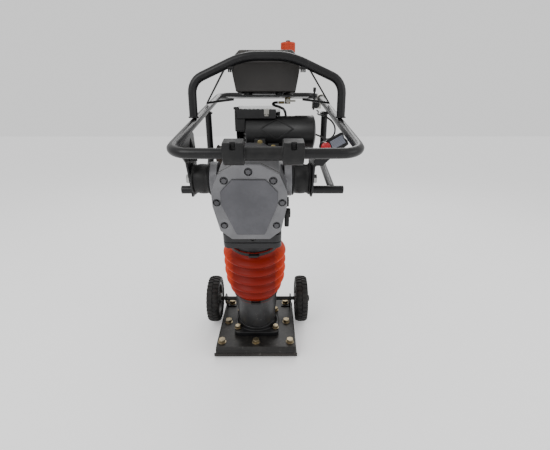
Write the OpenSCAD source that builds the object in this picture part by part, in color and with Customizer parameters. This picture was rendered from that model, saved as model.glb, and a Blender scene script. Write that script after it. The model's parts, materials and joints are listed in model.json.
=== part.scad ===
// Jumping jack rammer: a tamping foot on a sprung leg, driven by a small engine, with a rocking handle.
// Units are millimetres. Z is up and the front of the machine faces -Y.
// The origin is the centre of the underside of the shoe.

/* [Shoe] */
// width of the shoe across the machine
shoe_w = 285; // [240:1:330]
// length of the shoe from toe to heel
shoe_l = 345; // [300:1:380]
// width of the lower wear plate across the machine
lip_w = 297; // [250:1:340]
// height of the top of the shoe above the ground
shoe_h = 45; // [35:1:60]
// width across the flats of the shoe bolts
shoe_bolt_af = 22; // [17:1:27]

/* [Leg] */
// forward lean of the leg in degrees
lean = 11.5; // [8:0.5:15]
// distance of the leg axis behind the origin at ground level
leg_y = -9; // [-30:1:30]
// outside radius of the leg tube
leg_r = 75; // [65:1:85]
// outside radius of the guide cylinder that slides in the leg tube
guide_r = 68; // [60:0.5:72]
// largest radius of the bellows
bellows_r = 106; // [95:1:115]
// number of bellows pleats
pleats = 5; // [4:1:7]

/* [Wheels] */
// outside diameter of a transport wheel
wheel_d = 188; // [160:1:220]
// width of a transport wheel
wheel_w = 50; // [40:1:60]
// distance between the wheel centres
track = 352; // [340:1:380]
// height of the axle above the ground
axle_z = 105; // [100:1:120]
// distance of the axle behind the origin
axle_y = 69; // [40:1:100]

/* [Gear case] */
// depth position of the front face of the gear case ahead of the leg axis
case_front = 115; // [100:1:130]
// thickness of the bolted cover
cover_t = 14; // [10:1:18]
// teeth on the crank gear
gear_teeth = 59; // [50:1:70]
// teeth on the engine pinion
pinion_teeth = 15; // [12:1:20]
// gear module
gear_mod = 2.5; // [2:0.5:3]
// crank throw
throw = 32; // [25:1:35]

/* [Handle] */
// diameter of the handle tubes
tube_d = 24; // [20:1:30]
// sideways offset of the handle and the engine from the leg
handle_x = 46.6; // [0:0.1:60]
// half width of the handle at the front, to the tube centre
front_half = 217.5; // [180:0.5:240]
// half width of the handle at the rear, to the tube centre
rear_half = 203; // [180:0.5:240]
// height of the arch centre line above the ground
arch_z = 966; // [900:1:1000]

/* [Tank] */
// half width of the fuel tank at its widest
tank_half = 101; // [80:1:120]
// height of the underside of the tank above the ground
tank_z = 880; // [860:1:900]
// height of the tank itself
tank_h = 115; // [90:1:140]

/* [Hidden] */
$fn = 64;
tube_r = tube_d / 2;
gear_t = 650;
centre_dist = gear_mod * (gear_teeth + pinion_teeth) / 2;
pinion_x = 40;
pinion_t = gear_t - sqrt(centre_dist * centre_dist - pinion_x * pinion_x);
mount_t = 655;
mount_y = -7;
loop_t = 800;
case_shape = [[-32, 742], [32, 742], [80, 716], [101, 668], [101, 624], [86, 548], [54, 520],
    [-54, 520], [-86, 548], [-101, 624], [-101, 668], [-80, 716]];
case_hollow = [[-26, 731], [26, 731], [72, 707], [90, 665], [90, 626], [76, 552], [46, 528],
    [-46, 528], [-76, 552], [-90, 626], [-90, 665], [-72, 707]];
panel_shape = [[-44, 703], [44, 703], [76, 668], [76, 632], [40, 538], [-40, 538], [-76, 632], [-76, 668]];
cover_bolts = [[0, 723], [64, 699], [88, 636], [73, 566], [-73, 566], [-88, 636], [-64, 699]];
shoe_bolt_spots = [[0, -138], [123, -137], [-123, -137], [114, -13], [-114, -13], [114, 121], [-114, 121]];
flange_bolt_spots = [[70, -72], [-70, -72], [73.6, 50], [-73.6, 50]];

// Things placed on the leaning leg: x across, y behind the leg axis, z along the leg.
module on_leg() {
    translate([0, leg_y, 0])
        rotate([lean, 0, 0])
            children();
}

// A hex headed bolt with a washer, head up, seated at z = 0.
module hex_bolt(af, shank_r, shank_l) {
    cylinder(h = af * 0.1, r = af * 0.68);
    translate([0, 0, af * 0.1])
        cylinder(h = af * 0.5, r = af / 1.732, $fn = 6);
    translate([0, 0, -shank_l])
        cylinder(h = shank_l, r = shank_r, $fn = 24);
}

// A block with rounded upright edges, centred on x and y, standing on z = 0.
module soft_block(w, d, h, r) {
    linear_extrude(height = h)
        union() {
            square([w - 2 * r, d], center = true);
            square([w, d - 2 * r], center = true);
            for (i = [-1, 1])
                for (j = [-1, 1])
                    translate([i * (w / 2 - r), j * (d / 2 - r)])
                        circle(r = r, $fn = 32);
        }
}

// The centre line through the points p, with corner i rounded to radius b[i].
function rounded(p, b, closed) =
    let (n = len(p))
    [for (i = [0 : n - 1])
        if (!closed && (i == 0 || i == n - 1)) p[i]
        else
            let (a = p[(i + n - 1) % n], c = p[(i + 1) % n], u = (p[i] - a) / norm(p[i] - a),
                v = (c - p[i]) / norm(c - p[i]), turn = acos(u * v), s = b[i] * tan(turn / 2),
                q = v - u * (u * v), g = q / norm(q), o = p[i] - u * s + g * b[i])
            for (k = [0 : 6])
                o + b[i] * (u * sin(turn * k / 6) - g * cos(turn * k / 6))];

// A tube of radius r along the points p, all in one plane whose normal is up.
module tube_along(p, r, up, closed) {
    n = len(p);
    pts = [for (k = [0 : n - 1]) for (j = [0 : 23])
        let (d = closed ? p[(k + 1) % n] - p[(k + n - 1) % n] : p[min(k + 1, n - 1)] - p[max(k - 1, 0)],
            e = cross(d / norm(d), up))
        p[k] + r * (e * cos(j * 15) + up * sin(j * 15))];
    last = closed ? n - 1 : n - 2;
    sides = [for (k = [0 : last]) for (j = [0 : 23])
        [k * 24 + j, k * 24 + (j + 1) % 24, ((k + 1) % n) * 24 + (j + 1) % 24, ((k + 1) % n) * 24 + j]];
    caps = [[for (j = [23 : -1 : 0]) j], [for (j = [0 : 23]) (n - 1) * 24 + j]];
    polyhedron(points = pts, faces = closed ? sides : concat(sides, caps), convexity = 8);
}

// A smooth cord through the points p, made of rings of eight sides.
module cord(p, r, per, up) {
    n = len(p);
    m = (n - 1) * per;
    q = [for (k = [0 : m]) let (i = min(floor(k / per), n - 2)) spline(p, i, k / per - i)];
    rings = [for (k = [0 : m]) ring(q[k], q[min(k + 1, m)] - q[max(k - 1, 0)], r, up)];
    pts = [for (g = rings) for (v = g) v];
    sides = [for (k = [0 : m - 1]) for (j = [0 : 7])
        [k * 8 + j, k * 8 + (j + 1) % 8, (k + 1) * 8 + (j + 1) % 8, (k + 1) * 8 + j]];
    caps = [[for (j = [7 : -1 : 0]) j], [for (j = [0 : 7]) m * 8 + j]];
    polyhedron(points = pts, faces = concat(sides, caps), convexity = 8);
}
function spline(p, i, t) =
    let (a = p[max(i - 1, 0)], b = p[i], c = p[i + 1], d = p[min(i + 2, len(p) - 1)])
    0.5 * (2 * b + (c - a) * t + (2 * a - 5 * b + 4 * c - d) * t * t + (3 * b - a - 3 * c + d) * t * t * t);
function ring(c, d, r, up) =
    let (w = d / norm(d), g = cross(w, up), e = g / norm(g), f = cross(w, e))
    [for (j = [0 : 7]) c + r * (e * cos(-j * 45) + f * sin(-j * 45))];

// A coil spring standing on z = 0.
module coil(r, wire, turns, h) {
    m = turns * 14;
    pts = [for (k = [0 : m]) for (j = [0 : 7])
        let (a = k * 360 / 14, rr = r + wire * cos(j * 45))
        [rr * cos(a), rr * sin(a), wire + (h - 2 * wire) * k / m + wire * sin(j * 45)]];
    sides = [for (k = [0 : m - 1]) for (j = [0 : 7])
        [k * 8 + j, (k + 1) * 8 + j, (k + 1) * 8 + (j + 1) % 8, k * 8 + (j + 1) % 8]];
    caps = [[for (j = [0 : 7]) j], [for (j = [7 : -1 : 0]) m * 8 + j]];
    polyhedron(points = pts, faces = concat(sides, caps), convexity = 10);
}

// A spur gear with trapezoid teeth, centred, standing on z = 0.
module spur(teeth, h) {
    pr = gear_mod * teeth / 2;
    step = 360 / teeth;
    linear_extrude(height = h)
        polygon([for (i = [0 : teeth - 1]) for (k = [0 : 3])
            let (a = i * step + [-0.32, -0.13, 0.13, 0.32][k] * step,
                r = k == 0 || k == 3 ? pr - gear_mod * 0.9 : pr + gear_mod * 0.6)
            [r * cos(a), r * sin(a)]]);
}

// ---- shoe and foot ----

module wear_plate() {
    color([0.2, 0.2, 0.21])
        translate([-lip_w / 2, 0, 0])
            rotate([90, 0, 90])
                linear_extrude(height = lip_w)
                    polygon([[-shoe_l / 2 + 12, 0], [shoe_l / 2 - 12, 0], [shoe_l / 2, 10], [shoe_l / 2, 21.8],
                        [shoe_l / 2 - 6, 21.8], [shoe_l / 2 - 6, 12], [shoe_l / 2 - 15, 6],
                        [-shoe_l / 2 + 15, 6], [-shoe_l / 2 + 6, 12], [-shoe_l / 2 + 6, 21.8],
                        [-shoe_l / 2, 21.8], [-shoe_l / 2, 10]]);
}

module sole_board() {
    color([0.35, 0.25, 0.17])
        difference() {
            translate([-shoe_w / 2 + 6.2, 0, 0])
                rotate([90, 0, 90])
                    linear_extrude(height = shoe_w - 12.4)
                        polygon([[-shoe_l / 2 + 15.2, 6.1], [shoe_l / 2 - 15.2, 6.1],
                            [shoe_l / 2 - 6.2, 12.2], [shoe_l / 2 - 6.2, 21.6], [shoe_l / 2 - 7.4, 21.6],
                            [shoe_l / 2 - 7.4, 36.8], [-shoe_l / 2 + 7.4, 36.8],
                            [-shoe_l / 2 + 7.4, 21.6], [-shoe_l / 2 + 6.2, 21.6],
                            [-shoe_l / 2 + 6.2, 12.2]]);
            for (p = shoe_bolt_spots)
                translate([p[0], p[1], 25])
                    cylinder(h = 20, r = 7.2, $fn = 24);
            for (x = [-71, 71])
                for (y = [-76, 44])
                    translate([x, y, 25])
                        cylinder(h = 20, r = 6.2, $fn = 24);
        }
}

module shoe_top() {
    color([0.13, 0.13, 0.13])
        difference() {
            translate([-shoe_w / 2, 0, 0])
                rotate([90, 0, 90])
                    linear_extrude(height = shoe_w)
                        polygon([[-shoe_l / 2 + 1, 22], [shoe_l / 2 - 1, 22], [shoe_l / 2 - 1, 34],
                            [shoe_l / 2 - 9, shoe_h], [-shoe_l / 2 + 9, shoe_h], [-shoe_l / 2 + 1, 34]]);
            translate([-shoe_w / 2 + 6, -shoe_l / 2 + 7, 20])
                cube([shoe_w - 12, shoe_l - 14, 17]);
            for (p = shoe_bolt_spots)
                translate([p[0], p[1], 26])
                    cylinder(h = 30, r = 7.2, $fn = 24);
            for (x = [-71, 71])
                for (y = [-76, 44])
                    translate([x, y, 26])
                        cylinder(h = 30, r = 6.2, $fn = 24);
        }
}

module shoe_bolts() {
    color([0.7, 0.62, 0.35]) {
        for (p = shoe_bolt_spots)
            translate([p[0], p[1], shoe_h + (p[1] > 100 ? 5.1 : 0.05)])
                hex_bolt(shoe_bolt_af, 7, p[1] > 100 ? 23 : 18);
        for (x = [-71, 71])
            for (y = [-76, 44])
                translate([x, y, 63.1])
                    hex_bolt(19, 6, 34);
    }
}

module foot_casting() {
    color([0.16, 0.16, 0.16])
        difference() {
            union() {
                translate([0, -17, shoe_h + 0.05])
                    soft_block(164, 176, 18, 16);
                intersection() {
                    on_leg()
                        translate([0, 0, 30])
                            cylinder(h = 62, r1 = 84, r2 = 70);
                    translate([-100, -140, shoe_h + 0.05])
                        cube([200, 260, 80]);
                }
            }
            on_leg()
                translate([0, 0, 68])
                    cylinder(h = 60, r = 61);
            for (x = [-71, 71])
                for (y = [-76, 44])
                    translate([x, y, 30]) {
                        cylinder(h = 40, r = 6.2, $fn = 24);
                        translate([0, 0, 33])
                            cylinder(h = 40, r = 14, $fn = 32);
                    }
        }
}

module leg_tube() {
    color([0.25, 0.25, 0.26])
        on_leg()
            difference() {
                union() {
                    translate([0, 0, 92.1])
                        cylinder(h = 80, r1 = 67, r2 = leg_r);
                    translate([0, 0, 172.1])
                        cylinder(h = 232.9, r = leg_r);
                }
                translate([0, 0, 91])
                    cylinder(h = 92, r = 60);
                translate([0, 0, 182])
                    cylinder(h = 230, r = guide_r + 0.3);
            }
}

// A worm drive band clamp standing on z = 0.
module band(r, h) {
    difference() {
        cylinder(h = h, r = r + 1.6);
        translate([0, 0, -1])
            cylinder(h = h + 2, r = r);
    }
    translate([-14, -r - 10, 1])
        cube([28, 9, h - 2]);
    translate([14, -r - 5.5, h / 2])
        rotate([0, 90, 0])
            cylinder(h = 6, r = 4, $fn = 24);
}

module lower_clamp() {
    color([0.6, 0.6, 0.62])
        on_leg()
            translate([0, 0, 224])
                band(79.1, 10);
}

module piston_rod() {
    color([0.6, 0.6, 0.6])
        on_leg() {
            translate([0, 0, 262])
                cylinder(h = 20, r = 57);
            translate([0, 0, 282])
                cylinder(h = 204, r = 13);
            translate([0, 0, 425])
                cylinder(h = 8, r = 56);
            translate([0, 0, 433])
                cylinder(h = 12, r = 20, $fn = 6);
        }
}

module springs() {
    color([0.35, 0.36, 0.38])
        on_leg() {
            translate([0, 0, 69])
                coil(48, 5.5, 5, 192.5);
            translate([0, 0, 282.5])
                coil(48, 5.5, 4, 142);
        }
}

// ---- wheels ----

module wheel_bracket() {
    color([0.12, 0.12, 0.12]) {
        for (i = [-1, 1]) {
            difference() {
                translate([i > 0 ? 96 : -136, 98, shoe_h + 0.05])
                    cube([40, 46, 5]);
                translate([i * 114, 121, shoe_h - 5])
                    cylinder(h = 20, r = 7.2, $fn = 24);
            }
            translate([i > 0 ? 130 : -136, 0, 0])
                rotate([90, 0, 90])
                    linear_extrude(height = 6)
                        polygon([[98, shoe_h + 5], [144, shoe_h + 5], [axle_y + 15, axle_z + 14],
                            [axle_y - 14, axle_z + 14], [axle_y - 14, axle_z - 12]]);
        }
        translate([-track / 2 - 34, axle_y, axle_z])
            rotate([0, 90, 0])
                cylinder(h = track + 68, r = 8, $fn = 32);
        for (i = [-1, 1])
            translate([i > 0 ? track / 2 + 25.4 : -track / 2 - 35.4, axle_y, axle_z])
                rotate([0, 90, 0])
                    cylinder(h = 10, r = 13, $fn = 6);
    }
}

// A wheel about the X axis, centred.
module rim() {
    rotate([0, 90, 0])
        difference() {
            union() {
                translate([0, 0, -wheel_w / 2])
                    cylinder(h = wheel_w, r = 20, $fn = 48);
                translate([0, 0, -6])
                    cylinder(h = 12, r = 66);
                difference() {
                    translate([0, 0, -19])
                        cylinder(h = 38, r = 66);
                    translate([0, 0, -20])
                        cylinder(h = 40, r = 60);
                }
            }
            translate([0, 0, -40])
                cylinder(h = 80, r = 8.06, $fn = 32);
        }
}
module tyre() {
    rotate([0, 90, 0])
        rotate_extrude($fn = 96)
            polygon([[66.1, -21], [76, -wheel_w / 2 + 1], [wheel_d / 2 - 8, -wheel_w / 2 + 1],
                [wheel_d / 2, -wheel_w / 2 + 9], [wheel_d / 2, wheel_w / 2 - 9],
                [wheel_d / 2 - 8, wheel_w / 2 - 1], [76, wheel_w / 2 - 1], [66.1, 21]]);
}
module wheel_rim_left() {
    color([0.5, 0.5, 0.5])
        translate([-track / 2, axle_y, axle_z])
            rim();
}
module wheel_tyre_left() {
    color([0.08, 0.08, 0.08])
        translate([-track / 2, axle_y, axle_z])
            tyre();
}
module wheel_rim_right() {
    color([0.5, 0.5, 0.5])
        translate([track / 2, axle_y, axle_z])
            rim();
}
module wheel_tyre_right() {
    color([0.08, 0.08, 0.08])
        translate([track / 2, axle_y, axle_z])
            tyre();
}

// ---- guide cylinder and bellows ----

module guide_cylinder() {
    color([0.55, 0.55, 0.55])
        on_leg()
            difference() {
                union() {
                    translate([0, 0, 190])
                        cylinder(h = 290, r = guide_r);
                    translate([0, 0, 422])
                        cylinder(h = 58, r = 76);
                    translate([0, -18, 468])
                        soft_block(177, 164, 19, 20);
                }
                translate([0, 0, 180])
                    cylinder(h = 320, r = 60);
                for (p = flange_bolt_spots)
                    translate([p[0], p[1], 460])
                        cylinder(h = 40, r = 6.2, $fn = 24);
            }
}

module bellows() {
    pitch = 176 / pleats;
    o = [for (i = [0 : pleats - 1]) for (k = [0 : 3])
        [[i == 0 ? 82 : 89, bellows_r - 3, bellows_r, bellows_r - 3][k] - (i == 0 && k > 0 ? 15 : 0),
            240 + i * pitch + [0, 12, 17, 22][k]]];
    n = [for (i = [0 : pleats - 1]) for (k = [0 : 3])
        [o[i * 4 + k][0] - 3.5, o[i * 4 + k][1]]];
    m = len(n);
    color([0.8, 0.2, 0.1])
        on_leg()
            rotate_extrude($fn = 96)
                polygon(concat([[75.3, 222], [79, 222], [79, 240]], o, [[80, 416], [80, 438], [76.3, 438],
                    [76.3, 416]], [for (i = [m - 1 : -1 : 0]) n[i]], [[75.3, 240]]));
}

module upper_clamp() {
    color([0.6, 0.6, 0.62])
        on_leg()
            translate([0, 0, 425])
                band(80.1, 10);
}

// ---- gear case ----

// Draws a flat outline given as x and height, from depth a to depth b behind the leg axis.
module slab(shape, a, b) {
    translate([0, b, 0])
        rotate([90, 0, 0])
            linear_extrude(height = b - a)
                polygon(shape);
}

module gear_case() {
    color([0.55, 0.56, 0.57])
        on_leg()
            difference() {
                union() {
                    slab(case_shape, -case_front, 65);
                    translate([0, -18, 488])
                        soft_block(177, 164, 27, 20);
                    translate([0, 0, 500])
                        cylinder(h = 38, r = 72);
                    for (i = [-1, 1])
                        translate([i * 95, mount_y, mount_t])
                            rotate([0, i * 90, 0])
                                cylinder(h = 23, r = 50);
                }
                difference() {
                    slab(case_hollow, -case_front - 1, 50);
                    for (p = cover_bolts)
                        translate([p[0], -case_front + 26, p[1]])
                            rotate([90, 0, 0])
                                cylinder(h = 30, r = 11, $fn = 32);
                }
                translate([0, 0, 480])
                    cylinder(h = 52, r = 56);
                translate([-100, 64.9, 480])
                    cube([200, 60, 90]);
                translate([0, 80, gear_t])
                    rotate([90, 0, 0])
                        cylinder(h = 40, r = 14.06, $fn = 48);
                translate([pinion_x, 80, pinion_t])
                    rotate([90, 0, 0])
                        cylinder(h = 40, r = 15.06, $fn = 48);
                for (p = cover_bolts)
                    translate([p[0], -case_front + 20, p[1]])
                        rotate([90, 0, 0])
                            cylinder(h = 30, r = 4.2, $fn = 24);
                for (p = flange_bolt_spots)
                    translate([p[0], p[1], 480])
                        cylinder(h = 20.5, r = 6.2, $fn = 24);
                translate([80, -60, 605])
                    rotate([0, 90, 0])
                        cylinder(h = 40, r = 9.2, $fn = 32);
            }
}

module case_gasket() {
    color([0.1, 0.1, 0.1])
        on_leg() {
            difference() {
                slab(case_shape, -case_front - 1.2, -case_front - 0.05);
                slab(case_hollow, -case_front - 3, -case_front + 2);
                for (p = cover_bolts)
                    translate([p[0], -case_front + 5, p[1]])
                        rotate([90, 0, 0])
                            cylinder(h = 10, r = 4.3, $fn = 24);
            }
        }
}

module case_cover() {
    color([0.58, 0.59, 0.6])
        on_leg()
            difference() {
                slab(case_shape, -case_front - 1.3 - cover_t, -case_front - 1.3);
                for (p = cover_bolts)
                    translate([p[0], -case_front + 5, p[1]])
                        rotate([90, 0, 0]) {
                            cylinder(h = 40, r = 4.3, $fn = 24);
                            translate([0, 0, 5 + 1.3 + cover_t - 6])
                                cylinder(h = 20, r = 10, $fn = 32);
                        }
            }
}

module cover_panel() {
    color([0.3, 0.3, 0.31])
        on_leg()
            slab(panel_shape, -case_front - 1.35 - cover_t - 5, -case_front - 1.35 - cover_t);
}

module case_bolts() {
    color([0.62, 0.62, 0.6])
        on_leg() {
            for (p = cover_bolts)
                translate([p[0], -case_front - 1.35 - cover_t + 6, p[1]])
                    rotate([90, 0, 0])
                        hex_bolt(13, 4, 26);
            for (p = flange_bolt_spots)
                translate([p[0], p[1], 467.9])
                    rotate([180, 0, 0])
                        hex_bolt(17, 6, 30);
        }
}

module sight_glass() {
    color([0.15, 0.15, 0.15])
        on_leg()
            translate([100.1, -60, 605])
                rotate([0, 90, 0])
                    difference() {
                        union() {
                            cylinder(h = 9, r = 16, $fn = 6);
                            translate([0, 0, -14])
                                cylinder(h = 14, r = 9, $fn = 32);
                        }
                        translate([0, 0, 6])
                            cylinder(h = 5, r = 9, $fn = 32);
                    }
}

module crank_gear() {
    color([0.5, 0.5, 0.52])
        on_leg() {
            translate([0, 44, gear_t])
                rotate([90, 0, 0])
                    difference() {
                        spur(gear_teeth, 16);
                        translate([0, 0, 12])
                            difference() {
                                cylinder(h = 10, r = 66);
                                translate([0, 0, -1])
                                    cylinder(h = 12, r = 46);
                            }
                    }
            translate([0, 64, gear_t])
                rotate([90, 0, 0])
                    cylinder(h = 20, r = 14, $fn = 48);
            translate([0, 30, gear_t - throw])
                rotate([90, 0, 0])
                    cylinder(h = 42, r = 11, $fn = 48);
        }
}

module con_rod() {
    color([0.55, 0.55, 0.56])
        on_leg()
            translate([0, 10, 0])
                rotate([90, 0, 0])
                    linear_extrude(height = 20)
                        difference() {
                            union() {
                                translate([0, gear_t - throw])
                                    circle(r = 20, $fn = 48);
                                translate([0, gear_t - throw - 112])
                                    circle(r = 15, $fn = 48);
                                translate([-9, gear_t - throw - 112])
                                    square([18, 112]);
                            }
                            translate([0, gear_t - throw])
                                circle(r = 11.06, $fn = 48);
                            translate([0, gear_t - throw - 112])
                                circle(r = 8, $fn = 48);
                        }
}

module clutch_drum() {
    color([0.4, 0.4, 0.42])
        on_leg()
            translate([pinion_x, 0, pinion_t]) {
                translate([0, 44, 0])
                    rotate([90, 0, 0])
                        rotate([0, 0, pinion_phase])
                            spur(pinion_teeth, 16);
                translate([0, 80, 0])
                    rotate([90, 0, 0])
                        cylinder(h = 36, r = 15, $fn = 48);
                translate([0, 112, 0])
                    rotate([90, 0, 0])
                        difference() {
                            cylinder(h = 32, r = 52);
                            translate([0, 0, -1])
                                cylinder(h = 28, r = 48);
                        }
            }
}
// Turns the pinion so that a gap between its teeth faces a tooth of the crank gear.
line_angle = atan2(pinion_t - gear_t, pinion_x);
gear_part = line_angle * gear_teeth / 360;
pinion_part = (line_angle + 180) / (360 / pinion_teeth);
pinion_phase = (pinion_part - 0.5 + (gear_part - floor(gear_part)) - floor(pinion_part)) * 360 / pinion_teeth;

module shock_mounts() {
    color([0.09, 0.09, 0.09])
        on_leg()
            for (i = [-1, 1])
                translate([i * 118.05, mount_y, mount_t])
                    rotate([0, i * 90, 0])
                        difference() {
                            union() {
                                cylinder(h = 5, r = 48);
                                cylinder(h = 53.6, r = 43);
                                translate([0, 0, 48.6])
                                    cylinder(h = 5, r = 46);
                            }
                            translate([0, 0, 12])
                                cylinder(h = 60, r = 8.05, $fn = 32);
                        }
}

// ---- engine ----

module clutch_housing() {
    color([0.5, 0.5, 0.51])
        on_leg()
            translate([pinion_x, 135, pinion_t])
                rotate([90, 0, 0])
                    difference() {
                        union() {
                            cylinder(h = 69.9, r = 62);
                            cylinder(h = 10, r = 78);
                            translate([0, 0, 59.9])
                                cylinder(h = 10, r = 66);
                        }
                        translate([0, 0, 10])
                            cylinder(h = 70, r = 55);
                        translate([0, 0, -1])
                            cylinder(h = 20, r = 14, $fn = 48);
                    }
}

module engine_shaft() {
    color([0.45, 0.45, 0.46])
        on_leg()
            translate([pinion_x, 0, pinion_t]) {
                translate([0, 324, 0])
                    rotate([90, 0, 0])
                        cylinder(h = 218, r = 12, $fn = 48);
                translate([0, 108, 0])
                    rotate([90, 0, 0])
                        cylinder(h = 20, r = 46);
                translate([0, 322, 0])
                    rotate([90, 0, 0]) {
                        cylinder(h = 24, r = 40);
                        for (i = [0 : 11])
                            rotate([0, 0, i * 30])
                                translate([30, -2, 4])
                                    cube([52, 4, 20]);
                        cylinder(h = 4, r = 86);
                    }
            }
}

module engine_block() {
    color([0.42, 0.42, 0.43])
        on_leg()
            difference() {
                union() {
                    translate([pinion_x, 212.6, 500])
                        soft_block(150, 155, 142, 14);
                    translate([pinion_x - 46, 212, 486])
                        cube([92, 60, 20]);
                }
                translate([pinion_x, 300, pinion_t])
                    rotate([90, 0, 0]) {
                        cylinder(h = 200, r = 12.06, $fn = 48);
                        translate([0, 0, 30])
                            cylinder(h = 110, r = 50);
                    }
            }
}

module cylinder_fins() {
    color([0.45, 0.45, 0.46])
        on_leg()
            difference() {
                union() {
                    translate([20, 227, 642.1])
                        cylinder(h = 150, r = 34);
                    for (i = [0 : 9])
                        translate([20, 227, 652 + i * 13.5])
                            soft_block(112, 88, 4, 14);
                }
                translate([20, 227, 640])
                    cylinder(h = 120, r = 24);
            }
}

module engine_shroud() {
    color([0.1, 0.1, 0.1])
        on_leg()
            difference() {
                translate([14, 230, 660])
                    soft_block(146, 108, 146, 14);
                translate([14, 230, 650])
                    soft_block(140, 102, 153, 12);
                translate([-90, 176, 640])
                    cube([180, 9, 150]);
                translate([20, 290, 765])
                    rotate([90, 0, 0])
                        cylinder(h = 20, r = 13, $fn = 32);
                translate([-90, 190, 650])
                    cube([40, 74, 46]);
                translate([70, 170, 650])
                    cube([30, 70, 78]);
            }
}

module spark_plug() {
    color([0.12, 0.12, 0.12])
        on_leg()
            translate([20, 271.2, 765])
                rotate([-90, 0, 0]) {
                    cylinder(h = 12, r = 9, $fn = 6);
                    translate([0, 0, 12])
                        cylinder(h = 22, r = 8, $fn = 32);
                    translate([0, 0, 30])
                        rotate([0, -70, 0])
                            cylinder(h = 30, r = 7, $fn = 32);
                }
}

module muffler() {
    color([0.15, 0.14, 0.14])
        on_leg()
            difference() {
                union() {
                    translate([-103, 180, 650])
                        rotate([-90, 0, 0])
                            cylinder(h = 96, r = 31);
                    translate([-76, 227, 666])
                        rotate([0, 90, 0])
                            cylinder(h = 39, r = 11, $fn = 32);
                    translate([-124, 262, 660])
                        rotate([0, -60, 0])
                            cylinder(h = 20, r = 9, $fn = 32);
                }
                translate([-103, 183, 650])
                    rotate([-90, 0, 0])
                        cylinder(h = 90, r = 28);
            }
}

module carburettor() {
    color([0.5, 0.5, 0.48])
        on_leg() {
            translate([76.2, 200, 676])
                cube([44, 34, 46]);
            translate([98, 217, 644])
                cylinder(h = 33, r = 20, $fn = 32);
            translate([120, 217, 699])
                rotate([0, 90, 0])
                    cylinder(h = 14, r = 16, $fn = 32);
        }
}

module throttle_arm() {
    color([0.6, 0.6, 0.6])
        on_leg()
            translate([105, 217, 722.3]) {
                cylinder(h = 10, r = 6, $fn = 32);
                translate([-4, -26, 5])
                    cube([8, 26, 2.5]);
            }
}

module choke_lever() {
    color([0.1, 0.1, 0.1])
        on_leg()
            translate([84, 199.7, 684])
                rotate([90, 0, 0]) {
                    cylinder(h = 8, r = 8, $fn = 32);
                    translate([-4, -30, 3])
                        cube([8, 30, 3]);
                }
}

module fan_housing() {
    color([0.1, 0.1, 0.1])
        on_leg()
            translate([pinion_x, 0, pinion_t])
                difference() {
                    union() {
                        translate([0, 330, 0])
                            rotate([90, 0, 0])
                                cylinder(h = 39.6, r = 104);
                        translate([0, 362, 0])
                            rotate([90, 0, 0])
                                cylinder(h = 32.1, r = 84);
                    }
                    translate([0, 328, 0])
                        rotate([90, 0, 0]) {
                            cylinder(h = 33, r = 98);
                            cylinder(h = 60, r = 60);
                        }
                    translate([0, 358, 0])
                        rotate([90, 0, 0])
                            cylinder(h = 36, r = 78);
                    for (i = [0 : 11])
                        rotate([0, i * 30, 0])
                            translate([-5, 350, 40])
                                cube([10, 20, 30]);
                    translate([0, 343, 70])
                        cylinder(h = 30, r = 5, $fn = 32);
                }
}

module starter_pulley() {
    color([0.5, 0.5, 0.45])
        on_leg()
            translate([pinion_x, 350, pinion_t])
                rotate([90, 0, 0])
                    difference() {
                        cylinder(h = 14, r = 56);
                        translate([0, 0, 4])
                            difference() {
                                cylinder(h = 6, r = 60);
                                translate([0, 0, -1])
                                    cylinder(h = 8, r = 46);
                            }
                    }
}

module pull_grip() {
    color([0.08, 0.08, 0.08])
        on_leg()
            translate([pinion_x, 343, pinion_t + 85]) {
                translate([0, 0, -4])
                    cylinder(h = 14, r = 3, $fn = 24);
                translate([-40, 0, 17])
                    rotate([0, 90, 0])
                        cylinder(h = 80, r = 10, $fn = 32);
            }
}

// ---- air cleaner ----

module air_cleaner() {
    color([0.1, 0.1, 0.1])
        translate([-20, -39, 765])
            rotate([0, 90, 0]) {
                difference() {
                    union() {
                        cylinder(h = 210, r = 50);
                        translate([0, 0, 160])
                            cylinder(h = 8, r = 52.5);
                        translate([0, 0, 202])
                            cylinder(h = 8, r = 52);
                    }
                    translate([0, 0, 4])
                        cylinder(h = 200, r = 46);
                }
                translate([0, 0, 210])
                    cylinder(h = 6, r1 = 40, r2 = 12, $fn = 48);
            }
}

module air_duct() {
    color([0.12, 0.12, 0.12]) {
        translate([-52, -70, 770])
            cube([31.7, 58, 62]);
        translate([-49, -39, 832])
            cylinder(h = 8, r = 9, $fn = 32);
        difference() {
            translate([-45, -75, 806])
                cube([117, 70, 27]);
            translate([-60, -39, 765])
                rotate([0, 90, 0])
                    cylinder(h = 240, r = 52.8);
        }
        on_leg()
            translate([98, 199.9, 708])
                rotate([90, 0, 0])
                    cylinder(h = 38.9, r = 12, $fn = 32);
    }
}

// ---- handle ----

module handle_loop() {
    color([0.12, 0.12, 0.12])
        on_leg()
            translate([handle_x, 0, loop_t])
                tube_along(rounded([[front_half, -222, 0], [rear_half, 528, 0], [-rear_half, 528, 0],
                    [-front_half, -222, 0]], [52, 52, 52, 52], true), tube_r, [0, 0, 1], true);
}

module arch() {
    color([0.1, 0.1, 0.1])
        translate([handle_x, -109, 0]) {
            tube_along(rounded([[-212, 0, 812], [-210, 0, arch_z - 61], [-64, 0, arch_z + 1],
                [64, 0, arch_z + 1], [210, 0, arch_z - 61], [212, 0, 812]], [0, 48, 200, 200, 48, 0], false),
                12, [0, 1, 0], false);
            for (i = [-1, 1])
                translate([i * 122, 9, 931])
                    rotate([0, acos(-81 / 213.6), atan2(178, i * 86)])
                        rotate([0, 0, i * 52.6])
                            translate([-2.5, i > 0 ? 0 : -16, -14])
                                cube([5, 16, 225]);
        }
}

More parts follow.
